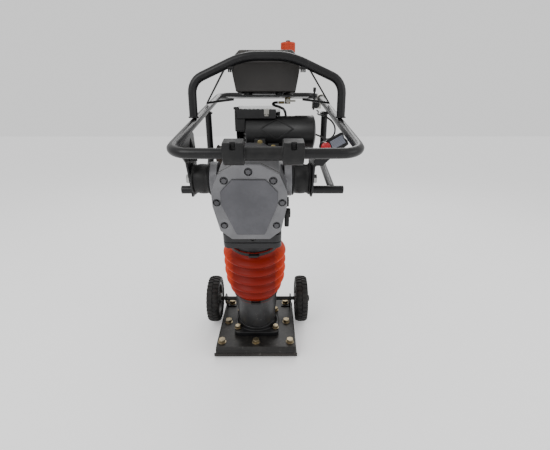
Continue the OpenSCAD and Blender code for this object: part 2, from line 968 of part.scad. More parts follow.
module side_frames() {
    color([0.1, 0.1, 0.1]) {
        tube_along(rounded([[-160, 91, 821], [-160, 91, 655], [-160, -90, 617]], [0, 45, 0], false),
            11, [1, 0, 0], false);
        translate([-210, -147, 608])
            rotate([0, 90, 0])
                cylinder(h = 31.9, r = tube_r, $fn = 32);
        tube_along(rounded([[240, 91, 821], [240, 91, 655], [240, -134.9, 610]], [0, 45, 0], false),
            11, [1, 0, 0], false);
        translate([178.1, -147, 608])
            rotate([0, 90, 0])
                cylinder(h = 95, r = tube_r, $fn = 32);
    }
}

module mount_brackets() {
    color([0.1, 0.1, 0.1]) {
        difference() {
            union() {
                translate([-178, 0, 0])
                    rotate([90, 0, 90])
                        linear_extrude(height = 6)
                            polygon([[-262, 751], [-110, 772], [-98, 766], [-86, 700], [-96, 610],
                                [-120, 590], [-165, 590], [-178, 628], [-205, 694], [-262, 726]]);
                translate([0, -140, 0])
                    rotate([90, 0, 0])
                        linear_extrude(height = 5)
                            polygon([[-178, 692], [-157, 692], [-160, 712], [-173, 762], [-178, 762]]);
                translate([172, 0, 0])
                    rotate([90, 0, 90])
                        linear_extrude(height = 6)
                            polygon([[-225, 690], [-92, 690], [-96, 620], [-120, 592], [-172, 592],
                                [-196, 612]]);
                translate([0, -92, 0])
                    rotate([90, 0, 0])
                        linear_extrude(height = 133)
                            polygon([[172, 690], [178, 688], [254, 754], [250, 758]]);
                translate([0, -225, 0])
                    rotate([90, 0, 0])
                        linear_extrude(height = 5)
                            polygon([[172, 700], [180, 690], [196, 690], [222, 714], [262, 746], [258, 756],
                                [249, 763], [245, 774], [240, 776], [205, 758], [188, 735]]);
            }
            translate([201, -240, 739])
                rotate([-90, 0, 0])
                    cylinder(h = 30, r = 9.2, $fn = 32);
            on_leg()
                for (x = [-190, 160])
                    translate([x, mount_y, mount_t])
                        rotate([0, 90, 0])
                            cylinder(h = 30, r = 8.3, $fn = 32);
        }
    }
}

module label_plate() {
    color([0.8, 0.8, 0.78])
        translate([232.5, -230.1, 751.5])
            rotate([90, 0, 0])
                linear_extrude(height = 0.8)
                    rotate([0, 0, 29])
                        square([36, 22], center = true);
}

module mount_bolts() {
    color([0.5, 0.5, 0.5])
        on_leg()
            for (i = [-1, 1])
                translate([i * 178.1, mount_y, mount_t])
                    rotate([0, i * 90, 0])
                        hex_bolt(24, 8, 45);
}

module rubber_blocks() {
    color([0.08, 0.08, 0.08])
        on_leg()
            difference() {
                union() {
                    for (x = [-45, 85])
                        translate([x, -222, loop_t])
                            rotate([90, 0, 90])
                                linear_extrude(height = 46)
                                    union() {
                                        circle(r = 25);
                                        translate([-25, 0])
                                            square([50, 23]);
                                        translate([-20, 0])
                                            square([40, 28]);
                                    }
                    translate([0, -222, loop_t])
                        rotate([0, 90, 0])
                            cylinder(h = 86, r = 15.5, $fn = 48);
                }
                translate([-60, -222, loop_t])
                    rotate([0, 90, 0])
                        cylinder(h = 220, r = tube_r + 0.05, $fn = 32);
                for (x = [-27.5, 102.5])
                    translate([x, -249, loop_t + 14])
                        cube([11, 16, 20]);
            }
}

module tank_tray() {
    color([0.12, 0.12, 0.12]) {
        difference() {
            translate([-80, -50, tank_z - 12])
                cube([254, 146, 5]);
            translate([110, 20, tank_z - 20])
                cylinder(h = 20, r = 22, $fn = 32);
        }
        for (x = [-15, 82])
            for (y = [-28, 68])
                translate([x, y, tank_z - 7])
                    cylinder(h = 6.9, r = 11, $fn = 32);
        for (i = [-1, 1])
            translate([handle_x, 96, 0])
                rotate([90, 0, 0])
                    linear_extrude(height = 10)
                        polygon([[i * 116, 868.5], [i * 128, 868.5], [i * 206, 858],
                            [i * 206, 851.5], [i * 116, 862]]);
    }
}

module fuel_tank() {
    color([0.17, 0.15, 0.14])
        difference() {
            union() {
                intersection() {
                    translate([42, 120, 0])
                        rotate([90, 0, 0])
                            linear_extrude(height = 200)
                                polygon([[-88, tank_z], [88, tank_z], [96, tank_z + 42], [tank_half, tank_z + 72],
                                    [tank_half, tank_z + 86], [78, tank_z + tank_h], [-78, tank_z + tank_h],
                                    [-tank_half, tank_z + 86], [-tank_half, tank_z + 72], [-96, tank_z + 42]]);
                    translate([-100, 0, 0])
                        rotate([90, 0, 90])
                            linear_extrude(height = 300)
                                polygon([[-60, tank_z], [100, tank_z], [100, tank_z + 82], [72, tank_z + tank_h],
                                    [-32, tank_z + tank_h], [-60, tank_z + 82]]);
                }
                translate([109, 20, tank_z + tank_h - 10])
                    cylinder(h = 17, r = 17);
                translate([110, 20, tank_z - 10])
                    cylinder(h = 12, r = 14, $fn = 32);
            }
            intersection() {
                translate([42, 116, 0])
                    rotate([90, 0, 0])
                        linear_extrude(height = 190)
                            polygon([[-84, tank_z + 4], [84, tank_z + 4], [92, tank_z + 43], [97, tank_z + 72],
                                [97, tank_z + 84], [75, tank_z + tank_h - 4], [-75, tank_z + tank_h - 4],
                                [-97, tank_z + 84], [-97, tank_z + 72], [-92, tank_z + 43]]);
                translate([-100, 0, 0])
                    rotate([90, 0, 90])
                        linear_extrude(height = 300)
                            polygon([[-56, tank_z + 4], [96, tank_z + 4], [96, tank_z + 80],
                                [70, tank_z + tank_h - 4], [-30, tank_z + tank_h - 4], [-56, tank_z + 80]]);
            }
            translate([109, 20, tank_z + tank_h - 8])
                cylinder(h = 20, r = 13.5, $fn = 48);
        }
}

module fuel_cap() {
    color([0.85, 0.25, 0.12])
        translate([109, 20, tank_z + tank_h + 0.3]) {
            difference() {
                cylinder(h = 25, r = 22);
                translate([0, 0, -1])
                    cylinder(h = 12, r = 17.4);
                for (i = [0 : 23])
                    rotate([0, 0, i * 15])
                        translate([22.6, 0, -1])
                            cylinder(h = 20, r = 1.8, $fn = 16);
            }
            translate([0, 0, 25])
                cylinder(h = 6, r = 6, $fn = 32);
        }
}

module fuel_tap() {
    color([0.55, 0.5, 0.3]) {
        translate([110, 20, tank_z - 30])
            cylinder(h = 19.9, r = 9, $fn = 32);
        translate([110, 20, tank_z - 22])
            rotate([90, 0, 0])
                cylinder(h = 18, r = 7, $fn = 32);
        translate([100, 20, tank_z - 26])
            rotate([0, -90, 0])
                cylinder(h = 20, r = 4, $fn = 24);
    }
}

module tap_lever() {
    color([0.5, 0.5, 0.5])
        translate([110, 1.7, tank_z - 22])
            rotate([90, 0, 0]) {
                cylinder(h = 5, r = 7, $fn = 32);
                translate([0, -3, 1])
                    cube([24, 6, 3]);
            }
}

module throttle_bracket() {
    color([0.2, 0.2, 0.2])
        on_leg()
            difference() {
                union() {
                    translate([250.9, 452, loop_t])
                        rotate([-90, 0, 0])
                            cylinder(h = 18, r = 17);
                    translate([216, 452, loop_t - 36])
                        cube([36, 3, 34]);
                    translate([228, 455, loop_t - 34])
                        cube([14, 15, 20]);
                }
                translate([250.9, 440, loop_t])
                    rotate([-90, 0, 0])
                        cylinder(h = 40, r = tube_r + 0.3, $fn = 48);
            }
}

module throttle_lever() {
    color([0.1, 0.1, 0.1])
        on_leg()
            translate([233, 451.7, loop_t - 20]) {
                rotate([90, 0, 0])
                    cylinder(h = 7, r = 13, $fn = 48);
                translate([-14, -5, -20])
                    cube([7, 3, 70]);
                translate([-16, -7, 46])
                    cube([11, 7, 16]);
            }
}

module stop_switch() {
    color([0.1, 0.1, 0.1])
        difference() {
            translate([201, -224.8, 739])
                rotate([-90, 0, 0])
                    cylinder(h = 26, r = 13, $fn = 32);
            translate([201, -226, 739])
                rotate([-90, 0, 0])
                    cylinder(h = 16, r = 9.2, $fn = 32);
        }
}

module stop_button() {
    color([0.75, 0.12, 0.1])
        translate([201, -233.4, 739])
            rotate([90, 0, 0]) {
                cylinder(h = 11, r = 13, $fn = 48);
                translate([0, 0, -16])
                    cylinder(h = 16, r = 5, $fn = 32);
            }
}

module throttle_cable() {
    color([0.05, 0.05, 0.05])
        cord([[236, 284, 833], [236, 230, 828], [226, 150, 823], [221, 95, 818], [240, 62, 811],
            [264, 48, 792], [271, 40, 770], [264, 34, 750], [246, 30, 741], [226, 26, 748],
            [200, 24, 757], [160, 26, 760], [122, 30, 758], [118, 31, 758.5]], 3.5, 5, [0.3, 0.9, 0.1]);
}

module fuel_hose() {
    color([0.05, 0.05, 0.05])
        cord([[78.5, 20, 854], [72, 19, 854], [64, 8, 851], [66, -6, 846], [84, -12, 840],
            [100, 8, 830], [104, 34, 800], [98, 54, 775], [93.5, 58, 760], [91, 60, 754]],
            4, 5, [0.7, 0.1, 0.7]);
}

wear_plate();
sole_board();
shoe_top();
shoe_bolts();
foot_casting();
leg_tube();
lower_clamp();
piston_rod();
springs();
wheel_bracket();
wheel_rim_left();
wheel_tyre_left();
wheel_rim_right();
wheel_tyre_right();
guide_cylinder();
bellows();
upper_clamp();
case_bolts();
gear_case();
case_gasket();
case_cover();
cover_panel();
sight_glass();
crank_gear();
con_rod();
clutch_drum();
shock_mounts();
clutch_housing();
engine_shaft();
engine_block();
cylinder_fins();
engine_shroud();
spark_plug();
muffler();
carburettor();
throttle_arm();
choke_lever();
fan_housing();
starter_pulley();
pull_grip();
air_cleaner();
air_duct();
handle_loop();
arch();
side_frames();
mount_brackets();
label_plate();
mount_bolts();
rubber_blocks();
tank_tray();
fuel_tank();
fuel_cap();
fuel_tap();
tap_lever();
throttle_bracket();
throttle_lever();
stop_switch();
stop_button();
throttle_cable();
fuel_hose();
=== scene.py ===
"""Jumping jack rammer: the visual model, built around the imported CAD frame."""
import json
import logging
import math
from dataclasses import dataclass
from enum import Enum
from typing import Callable, Sequence

import bpy
from mathutils import Matrix, Vector

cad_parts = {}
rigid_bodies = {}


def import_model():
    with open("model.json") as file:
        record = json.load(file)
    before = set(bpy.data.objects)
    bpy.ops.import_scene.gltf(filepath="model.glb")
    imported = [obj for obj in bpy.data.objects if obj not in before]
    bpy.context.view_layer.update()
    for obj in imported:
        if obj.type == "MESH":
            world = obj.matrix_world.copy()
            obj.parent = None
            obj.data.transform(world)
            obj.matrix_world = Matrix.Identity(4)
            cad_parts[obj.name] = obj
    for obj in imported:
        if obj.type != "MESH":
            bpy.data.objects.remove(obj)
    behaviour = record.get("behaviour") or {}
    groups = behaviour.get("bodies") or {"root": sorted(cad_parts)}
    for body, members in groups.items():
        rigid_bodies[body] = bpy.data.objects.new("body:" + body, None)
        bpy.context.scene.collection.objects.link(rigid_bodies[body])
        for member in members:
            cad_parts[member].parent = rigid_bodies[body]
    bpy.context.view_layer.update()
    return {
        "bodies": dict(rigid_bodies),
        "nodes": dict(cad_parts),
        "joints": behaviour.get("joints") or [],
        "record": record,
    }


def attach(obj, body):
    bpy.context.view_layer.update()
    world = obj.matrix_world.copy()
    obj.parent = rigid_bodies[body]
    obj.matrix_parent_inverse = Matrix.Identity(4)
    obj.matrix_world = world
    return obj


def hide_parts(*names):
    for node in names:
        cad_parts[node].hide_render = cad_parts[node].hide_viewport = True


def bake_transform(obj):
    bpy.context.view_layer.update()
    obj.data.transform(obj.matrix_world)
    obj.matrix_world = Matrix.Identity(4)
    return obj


log = logging.getLogger("rammer")

Colour = tuple[float, float, float]
Point = tuple[float, float, float]

MM = 0.001
LEAN = math.radians(11.5)
LEG_FOOT = Vector((0.0, -0.009, 0.0))


class Surface(Enum):
    """How the face of a material was made."""

    PLAIN = "plain"
    CAST = "cast"
    BRUSHED = "brushed"
    PAINTED = "painted"
    GRAINED = "grained"
    RUBBER = "rubber"
    LAYERED = "layered"
    PLEATED = "pleated"
    BANDED = "banded"


class Shading(Enum):
    """How a recast CAD piece is smoothed."""

    CRISP = "crisp"
    SWEPT = "swept"


# ---------------------------------------------------------------- materials


class Value:
    """A shader socket that Python's operators work on."""

    def __init__(self, shop: "Shop", socket: bpy.types.NodeSocket) -> None:
        """Wrap a socket.

        Args:
            shop: the node tree's builder.
            socket: the output to wrap.
        """
        self.shop = shop
        self.socket = socket

    def _do(self, operation: str, other: "Value | float", flip: bool = False) -> "Value":
        """Add one Math node.

        Args:
            operation: the Math node's operation.
            other: the second operand.
            flip: put the operands the other way round.

        Returns:
            The node's result.
        """
        pair = (other, self) if flip else (self, other)
        return self.shop.value("ShaderNodeMath", {"operation": operation}, {0: pair[0], 1: pair[1]})

    def __add__(self, other: "Value | float") -> "Value":
        """Add."""
        return self._do("ADD", other)

    def __radd__(self, other: float) -> "Value":
        """Add, reflected."""
        return self._do("ADD", other, True)

    def __sub__(self, other: "Value | float") -> "Value":
        """Subtract."""
        return self._do("SUBTRACT", other)

    def __rsub__(self, other: float) -> "Value":
        """Subtract, reflected."""
        return self._do("SUBTRACT", other, True)

    def __mul__(self, other: "Value | float") -> "Value":
        """Multiply."""
        return self._do("MULTIPLY", other)

    def __rmul__(self, other: float) -> "Value":
        """Multiply, reflected."""
        return self._do("MULTIPLY", other, True)

    def ramp(self, low: float, high: float) -> "Value":
        """Stretch low..high to 0..1 and clamp it.

        Args:
            low: the value that gives 0.
            high: the value that gives 1.

        Returns:
            The stretched value.
        """
        return self.shop.value("ShaderNodeMapRange", {"clamp": True},
                               {0: self, 1: low, 2: high, 3: 0.0, 4: 1.0})


class Shop:
    """Builds one material's node tree."""

    def __init__(self, name: str) -> None:
        """Start an empty material.

        Args:
            name: the material's name.
        """
        self.material = bpy.data.materials.new(name)
        self.material.use_nodes = True
        self.tree = self.material.node_tree
        self.tree.nodes.clear()

    def add(self, kind: str, settings: dict | None = None, inputs: dict | None = None) -> bpy.types.Node:
        """Add a node.

        Args:
            kind: the node's type.
            settings: properties to set first.
            inputs: values or links, by socket name or number.

        Returns:
            The node.
        """
        node = self.tree.nodes.new(kind)
        for key, val in (settings or {}).items():
            setattr(node, key, val)
        for key, val in (inputs or {}).items():
            slot = node.inputs[key]
            if isinstance(val, Value):
                self.tree.links.new(val.socket, slot)
            elif isinstance(val, tuple) and len(val) == 3 and slot.type == "RGBA":
                slot.default_value = (*val, 1.0)
            else:
                slot.default_value = val
        return node

    def value(self, kind: str, settings: dict | None = None, inputs: dict | None = None,
              out: int | str = 0) -> Value:
        """Add a node and wrap one of its outputs.

        Args:
            kind: the node's type.
            settings: properties to set first.
            inputs: values or links.
            out: which output.

        Returns:
            The wrapped output.
        """
        return Value(self, self.add(kind, settings, inputs).outputs[out])

    def coords(self, stretch: Point = (1.0, 1.0, 1.0), turn: Point = (0.0, 0.0, 0.0)) -> Value:
        """Object coordinates, stretched and turned.

        Args:
            stretch: scale along each axis.
            turn: rotation in radians.

        Returns:
            The coordinates.
        """
        raw = self.value("ShaderNodeTexCoord", out="Object")
        return self.value("ShaderNodeMapping", None, {"Vector": raw, "Scale": stretch, "Rotation": turn})

    def noise(self, where: Value, scale: float, detail: float = 4.0, rough: float = 0.55) -> Value:
        """Noise from 0 to 1.

        Args:
            where: coordinates.
            scale: cells per metre.
            detail: octaves.
            rough: how strong the finer octaves are.

        Returns:
            The noise.
        """
        return self.value("ShaderNodeTexNoise", None,
                          {"Vector": where, "Scale": scale, "Detail": detail, "Roughness": rough})

    def cells(self, where: Value, scale: float, feature: str = "F1") -> Value:
        """Distance to the nearest cell centre or edge.

        Args:
            where: coordinates.
            scale: cells per metre.
            feature: the Voronoi feature.

        Returns:
            The distance.
        """
        return self.value("ShaderNodeTexVoronoi", {"feature": feature}, {"Vector": where, "Scale": scale})

    def mix(self, amount: Value | float, a: Value | Colour, b: Value | Colour) -> Value:
        """Mix two colours.

        Args:
            amount: how much of b.
            a: the first colour.
            b: the second colour.

        Returns:
            The mixed colour.
        """
        return self.value("ShaderNodeMix", {"data_type": "RGBA"}, {0: amount, 6: a, 7: b}, 2)

    def facing_up(self) -> Value:
        """How far the surface faces up, from -1 to 1.

        Returns:
            The height of the surface's normal.
        """
        normal = self.value("ShaderNodeNewGeometry", out="Normal")
        return self.value("ShaderNodeSeparateXYZ", None, {0: normal}, 2)

    def bump(self, height: Value, depth: float, strength: float) -> Value:
        """Turn a height into a normal.

        Args:
            height: the height map.
            depth: its depth in metres.
            strength: how strong it is.

        Returns:
            The normal.
        """
        return self.value("ShaderNodeBump", None, {"Height": height, "Distance": depth, "Strength": strength})


@dataclass(frozen=True)
class Finish:
    """The look of one material."""

    name: str
    slot: str
    base: Colour
    tone: Colour
    surface: Surface = Surface.PLAIN
    metallic: float = 0.0
    rough: float = 0.5
    swing: float = 0.12
    mottle: float = 14.0
    grain: float = 900.0
    depth: float = 0.00015
    dust: float = 0.15
    dust_colour: Colour = (0.42, 0.38, 0.33)
    wear: float = 0.0
    wear_colour: Colour = (0.45, 0.44, 0.42)
    coat: float = 0.0
    along: Point = (1.0, 1.0, 1.0)
    gloss: float = 0.5
    dark_below: float = 0.0

    def make(self) -> bpy.types.Material:
        """Build the material.

        Returns:
            The finished material.
        """
        shop = Shop(self.name)
        place = shop.coords()
        broad = shop.noise(place, self.mottle, 5.0)
        mid = shop.noise(place, self.mottle * 7.0, 4.0)
        fine = shop.noise(place, self.grain, 3.0, 0.6)
        colour = shop.mix(broad.ramp(0.32, 0.68), self.base, self.tone)
        rough = (fine - 0.5) * self.swing + (broad - 0.5) * self.swing + self.rough
        height = fine
        if self.surface is Surface.CAST:
            pits = shop.cells(place, self.grain * 0.8).ramp(0.0, 0.45)
            sand = shop.noise(place, self.grain * 0.35, 2.0)
            height = fine * 0.5 + pits * 0.35 + sand * 0.6
            colour = shop.mix(mid.ramp(0.5, 0.75) * 0.35, colour, tuple(c * 0.62 for c in self.base))
            if self.dark_below:
                rise = shop.value("ShaderNodeSeparateXYZ", None, {0: shop.coords(turn=(-LEAN, 0.0, 0.0))}, 2)
                paint = (rise + (mid - 0.5) * 0.004).ramp(self.dark_below + 0.001, self.dark_below - 0.001)
                colour = shop.mix(paint * 0.94, colour, (0.02, 0.02, 0.021))
        elif self.surface is Surface.BRUSHED:
            lines = shop.noise(shop.coords(self.along), 160.0, 4.0, 0.7)
            height = lines
            rough = rough + (lines - 0.5) * 0.25
            colour = shop.mix(lines.ramp(0.35, 0.7) * 0.3, colour, tuple(c * 0.7 for c in self.base))
        elif self.surface is Surface.PAINTED:
            peel = shop.noise(place, 420.0, 2.0)
            height = peel * 0.8 + fine * 0.2
            rubbed = (mid * 0.65 + shop.noise(place, 240.0, 3.0) * 0.35).ramp(0.6, 0.64)
            colour = shop.mix(rubbed * self.wear, colour, self.wear_colour)
            rough = rough + rubbed * 0.2 * self.wear
        elif self.surface is Surface.GRAINED:
            skin = shop.cells(place, self.grain * 0.6, "SMOOTH_F1")
            height = skin * 0.8 + fine * 0.3
        elif self.surface is Surface.RUBBER:
            bloom = shop.noise(place, self.mottle * 3.0, 5.0).ramp(0.45, 0.8)
            colour = shop.mix(bloom * 0.1, colour, self.dust_colour)
            height = fine * 0.6 + mid * 0.4
        elif self.surface is Surface.LAYERED:
            ply = shop.value("ShaderNodeTexWave", {"bands_direction": "Z"},
                             {"Vector": place, "Scale": 95.0, "Distortion": 1.5, "Detail": 3.0})
            colour = shop.mix(ply, colour, tuple(c * 0.45 for c in self.base))
            height = ply * 0.7 + fine * 0.3
        elif self.surface is Surface.PLEATED:
            # Painted shade with some dust: within about 66 to 98 mm of the middle, the bellows turn dark red
            # front and back. This stands in for the shadow of the gear case above, while the sides stay
            # bright orange.
            across = shop.value("ShaderNodeSeparateXYZ", None, {0: place}, 0)
            width = shop.value("ShaderNodeMath", {"operation": "ABSOLUTE"}, {0: across})
            shade_and_dust_band = (width + (mid - 0.5) * 0.03).ramp(0.098, 0.066)
            colour = shop.mix(shade_and_dust_band * 0.92, colour, (0.13, 0.004, 0.002))
            height = fine * 0.5 + mid * 0.5
        elif self.surface is Surface.BANDED:
            tilted = shop.coords((1.0, 1.0, 1.0), (0.0, self.along[0], 0.0))
            rise = shop.value("ShaderNodeSeparateXYZ", None, {0: tilted}, 2)
            lines = shop.value("ShaderNodeMath", {"operation": "PINGPONG"}, {0: rise, 1: 0.0017})
            colour = shop.mix(lines.ramp(0.0009, 0.0011) * 0.8, colour, (0.012, 0.016, 0.035))
            colour = shop.mix(rise.ramp(self.along[1], self.along[1] + 0.0004), colour, (0.3, 0.012, 0.02))
        lying = shop.facing_up().ramp(0.1, 0.95)
        powder = (mid * 0.6 + fine * 0.4).ramp(0.38, 0.72)
        dusted = lying * powder * self.dust
        specks = shop.noise(place, self.grain * 0.5, 1.0).ramp(0.66, 0.74) * self.dust * 0.7
        colour = shop.mix(dusted, colour, self.dust_colour)
        colour = shop.mix(specks, colour, self.dust_colour)
        rough = (rough + dusted * 0.5).ramp(0.0, 1.0)
        shader = shop.add("ShaderNodeBsdfPrincipled", None, {
            "Base Color": colour, "Roughness": rough, "Metallic": self.metallic,
            "Coat Weight": self.coat, "Coat Roughness": 0.15, "Specular IOR Level": self.gloss,
            "Normal": shop.bump(height, self.depth, 0.6)})
        out = shop.add("ShaderNodeOutputMaterial")
        shop.tree.links.new(shader.outputs[0], out.inputs[0])
        return shop.material


FINISHES: tuple[Finish, ...] = (
    Finish("WornPlate", "wear_steel", (0.016, 0.015, 0.0145), (0.032, 0.029, 0.027), Surface.PAINTED,
           0.45, 0.46, dust=0.08, wear=0.25, gloss=0.3),
    Finish("SoleBoard", "board", (0.07, 0.048, 0.032), (0.045, 0.032, 0.022), Surface.LAYERED, 0.0, 0.7,
           dust=0.15, depth=0.0006, gloss=0.25),
    Finish("ShoePaint", "shoe_black", (0.0055, 0.0052, 0.005), (0.011, 0.0102, 0.0098), Surface.PAINTED,
           0.2, 0.38, dust=0.05, wear=0.06, gloss=0.35),
    Finish("YellowZinc", "zinc_bolt", (0.34, 0.27, 0.15), (0.24, 0.21, 0.16), Surface.BRUSHED,
           0.95, 0.33, dust=0.12, along=(1.0, 1.0, 6.0)),
    Finish("BlackPaint", "black_paint", (0.003, 0.003, 0.0036), (0.006, 0.006, 0.0068), Surface.PAINTED,
           0.0, 0.34, dust=0.02, wear=0.03, gloss=0.3),
    Finish("LegPaint", "leg_steel", (0.022, 0.022, 0.023), (0.04, 0.04, 0.041), Surface.PAINTED,
           0.4, 0.4, dust=0.08, wear=0.2),
    Finish("BrightZinc", "bright_steel", (0.40, 0.40, 0.39), (0.28, 0.28, 0.28), Surface.BRUSHED,
           0.95, 0.3, dust=0.08, along=(4.0, 1.0, 1.0)),
    Finish("SpringSteel", "spring_steel", (0.10, 0.10, 0.105), (0.06, 0.06, 0.065), Surface.BRUSHED,
           0.9, 0.35, dust=0.08),
    Finish("CastAlloy", "cast_alloy", (0.17, 0.17, 0.177), (0.13, 0.13, 0.137), Surface.CAST,
           0.6, 0.4, dust=0.06, depth=0.0005, gloss=0.4, dark_below=0.5178),
    Finish("PanelPaint", "panel_dark", (0.095, 0.095, 0.105), (0.07, 0.07, 0.078), Surface.CAST,
           0.5, 0.38, dust=0.06, depth=0.0003, grain=1500.0),
    Finish("EngineAlloy", "engine_alloy", (0.20, 0.20, 0.20), (0.12, 0.12, 0.12), Surface.CAST,
           0.7, 0.46, dust=0.12, depth=0.0004),
    Finish("GearSteel", "gear_steel", (0.26, 0.26, 0.27), (0.15, 0.145, 0.14), Surface.BRUSHED, 0.95, 0.28),
    Finish("GasketBlack", "gasket", (0.006, 0.006, 0.006), (0.01, 0.01, 0.01), Surface.RUBBER, 0.0, 0.6,
           gloss=0.25),
    Finish("BlackRubber", "rubber", (0.003, 0.003, 0.0033), (0.006, 0.006, 0.0062), Surface.RUBBER,
           0.0, 0.48, dust=0.06, dust_colour=(0.10, 0.095, 0.09), gloss=0.28),
    Finish("BellowsRubber", "bellows_red", (0.60, 0.045, 0.0), (0.50, 0.026, 0.0), Surface.PLEATED,
           0.0, 0.42, dust=0.02, dust_colour=(0.3, 0.1, 0.06), gloss=0.16),
    Finish("RimPaint", "rim_grey", (0.11, 0.11, 0.11), (0.07, 0.07, 0.07), Surface.PAINTED,
           0.3, 0.42, dust=0.15, wear=0.2),
    Finish("TyreRubber", "tyre", (0.0035, 0.0035, 0.0037), (0.008, 0.0078, 0.0075), Surface.RUBBER,
           0.0, 0.58, dust=0.16, dust_colour=(0.12, 0.105, 0.09), gloss=0.28),
    Finish("BlackPlastic", "black_plastic", (0.004, 0.004, 0.0043), (0.008, 0.008, 0.0083), Surface.GRAINED,
           0.0, 0.38, dust=0.07, dust_colour=(0.12, 0.115, 0.11), gloss=0.35),
    Finish("TankPlastic", "tank_plastic", (0.013, 0.0115, 0.0105), (0.020, 0.0178, 0.0165), Surface.GRAINED,
           0.0, 0.42, dust=0.1, grain=1400.0, gloss=0.4),
    Finish("CapPlastic", "cap_orange", (0.58, 0.05, 0.004), (0.48, 0.038, 0.004), Surface.GRAINED,
           0.0, 0.38, dust=0.05, gloss=0.35),
    Finish("HeatPaint", "heat_black", (0.012, 0.011, 0.01), (0.05, 0.028, 0.016), Surface.CAST,
           0.2, 0.65, dust=0.1),
    Finish("DullBrass", "brass", (0.30, 0.235, 0.10), (0.20, 0.165, 0.08), Surface.BRUSHED, 0.95, 0.38),
    Finish("LeverZinc", "lever_steel", (0.42, 0.41, 0.38), (0.30, 0.295, 0.27), Surface.BRUSHED, 0.95, 0.34),
    Finish("ButtonPlastic", "red_button", (0.36, 0.004, 0.012), (0.28, 0.003, 0.009), Surface.PLAIN,
           0.0, 0.3, dust=0.04),
    Finish("LabelFilm", "label", (0.20, 0.21, 0.25), (0.16, 0.17, 0.2), Surface.BANDED, 0.0, 0.4, dust=0.03,
           along=(0.506, 0.77, 0.0)),
    Finish("HoseRubber", "hose", (0.003, 0.003, 0.003), (0.006, 0.006, 0.006), Surface.RUBBER, 0.0, 0.42,
           dust=0.05, dust_colour=(0.08, 0.075, 0.075), gloss=0.35),
)


class Wardrobe:
    """Makes each finish once and hands it out by slot."""

    def __init__(self) -> None:
        """Make every material."""
        self.by_slot = {finish.slot: finish.make() for finish in FINISHES}

    def dress_frame(self, frame: dict) -> None:
        """Give every carried-over CAD node its material.

        Args:
            frame: the loaded frame.
        """
        slots = {row["node"]: row["material_slot"] for row in frame["record"]["subparts"]}
        for name, thing in frame["nodes"].items():
            material = self.by_slot[slots[name]]
            for place in thing.material_slots:
                place.material = material
            if not thing.material_slots:
                thing.data.materials.append(material)


# ---------------------------------------------------------------- workshop

LEG = Matrix.Translation(LEG_FOOT) @ Matrix.Rotation(LEAN, 4, "X")


def clear() -> None:
    """Leave edit mode and deselect everything."""
    if bpy.context.object is not None and bpy.context.object.mode != "OBJECT":
        bpy.ops.object.mode_set(mode="OBJECT")
    bpy.ops.object.select_all(action="DESELECT")


def take_up(thing: bpy.types.Object) -> None:
    """Select one object alone and make it active.

    Args:
        thing: the object.
    """
    clear()
    thing.select_set(True)
    bpy.context.view_layer.objects.active = thing


def pick(thing: bpy.types.Object, test: Callable[[Vector, Vector], bool]) -> None:
    """Enter edit mode with the faces that pass a test selected.

    Args:
        thing: the object.
        test: given a face's centre and normal, says whether it is wanted.
    """
    take_up(thing)
    bpy.ops.object.mode_set(mode="EDIT")
    bpy.ops.mesh.select_mode(type="FACE")
    bpy.ops.mesh.select_all(action="DESELECT")
    bpy.ops.object.mode_set(mode="OBJECT")
    for face in thing.data.polygons:
        face.select = bool(test(face.center, face.normal))
    bpy.ops.object.mode_set(mode="EDIT")


def tidy(thing: bpy.types.Object, angle: float = 35.0) -> None:
    """Merge doubles, turn the faces outwards and smooth all but the sharp edges.

    Args:
        thing: the object.
        angle: edges sharper than this many degrees stay sharp.
    """
    take_up(thing)
    bpy.ops.object.mode_set(mode="EDIT")
    bpy.ops.mesh.select_mode(type="VERT")
    bpy.ops.mesh.select_all(action="SELECT")
    bpy.ops.mesh.remove_doubles(threshold=0.00001)
    bpy.ops.mesh.normals_make_consistent(inside=False)
    bpy.ops.object.mode_set(mode="OBJECT")
    bpy.ops.object.shade_smooth_by_angle(angle=math.radians(angle))


def refine(thing: bpy.types.Object, kind: str, **settings: object) -> None:
    """Add a modifier and apply it.

    Args:
        thing: the object.
        kind: the modifier's type.
        settings: its settings.
    """
    take_up(thing)
    bpy.ops.object.modifier_add(type=kind)
    modifier = thing.modifiers[-1]
    for key, val in settings.items():
        setattr(modifier, key, val)
    bpy.ops.object.modifier_apply(modifier=modifier.name)


def soften(thing: bpy.types.Object, width: float, segments: int = 2, angle: float = 32.0) -> None:
    """Round the sharp edges and even out the shading.

    Args:
        thing: the object.
        width: the rounding in millimetres.
        segments: steps across the rounding.
        angle: edges sharper than this many degrees are rounded.
    """
    refine(thing, "BEVEL", width=width * MM, segments=segments, limit_method="ANGLE",
           angle_limit=math.radians(angle), use_clamp_overlap=False, miter_outer="MITER_ARC")
    take_up(thing)
    bpy.ops.object.shade_smooth_by_angle(angle=math.radians(40.0))
    refine(thing, "WEIGHTED_NORMAL", keep_sharp=True)


def settle(thing: bpy.types.Object, place: Matrix) -> None:
    """Move a piece into place and leave its object at the origin.

    Args:
        thing: the object.
        place: where it goes.
    """
    take_up(thing)
    thing.matrix_world = place @ thing.matrix_world
    bpy.ops.object.transform_apply(location=True, rotation=True, scale=True)


def stand(at: Point, up: Point = (0.0, 0.0, 1.0), leg: bool = False) -> Matrix:
    """A place whose Z axis points along up.

    Args:
        at: the place in millimetres.
        up: the direction of the piece's own Z axis.
        leg: whether at and up are measured on the leaning leg.

    Returns:
        The placing matrix.
    """
    turn = Vector(up).to_track_quat("Z", "Y").to_matrix().to_4x4()
    place = Matrix.Translation(Vector(at) * MM) @ turn
    return LEG @ place if leg else place


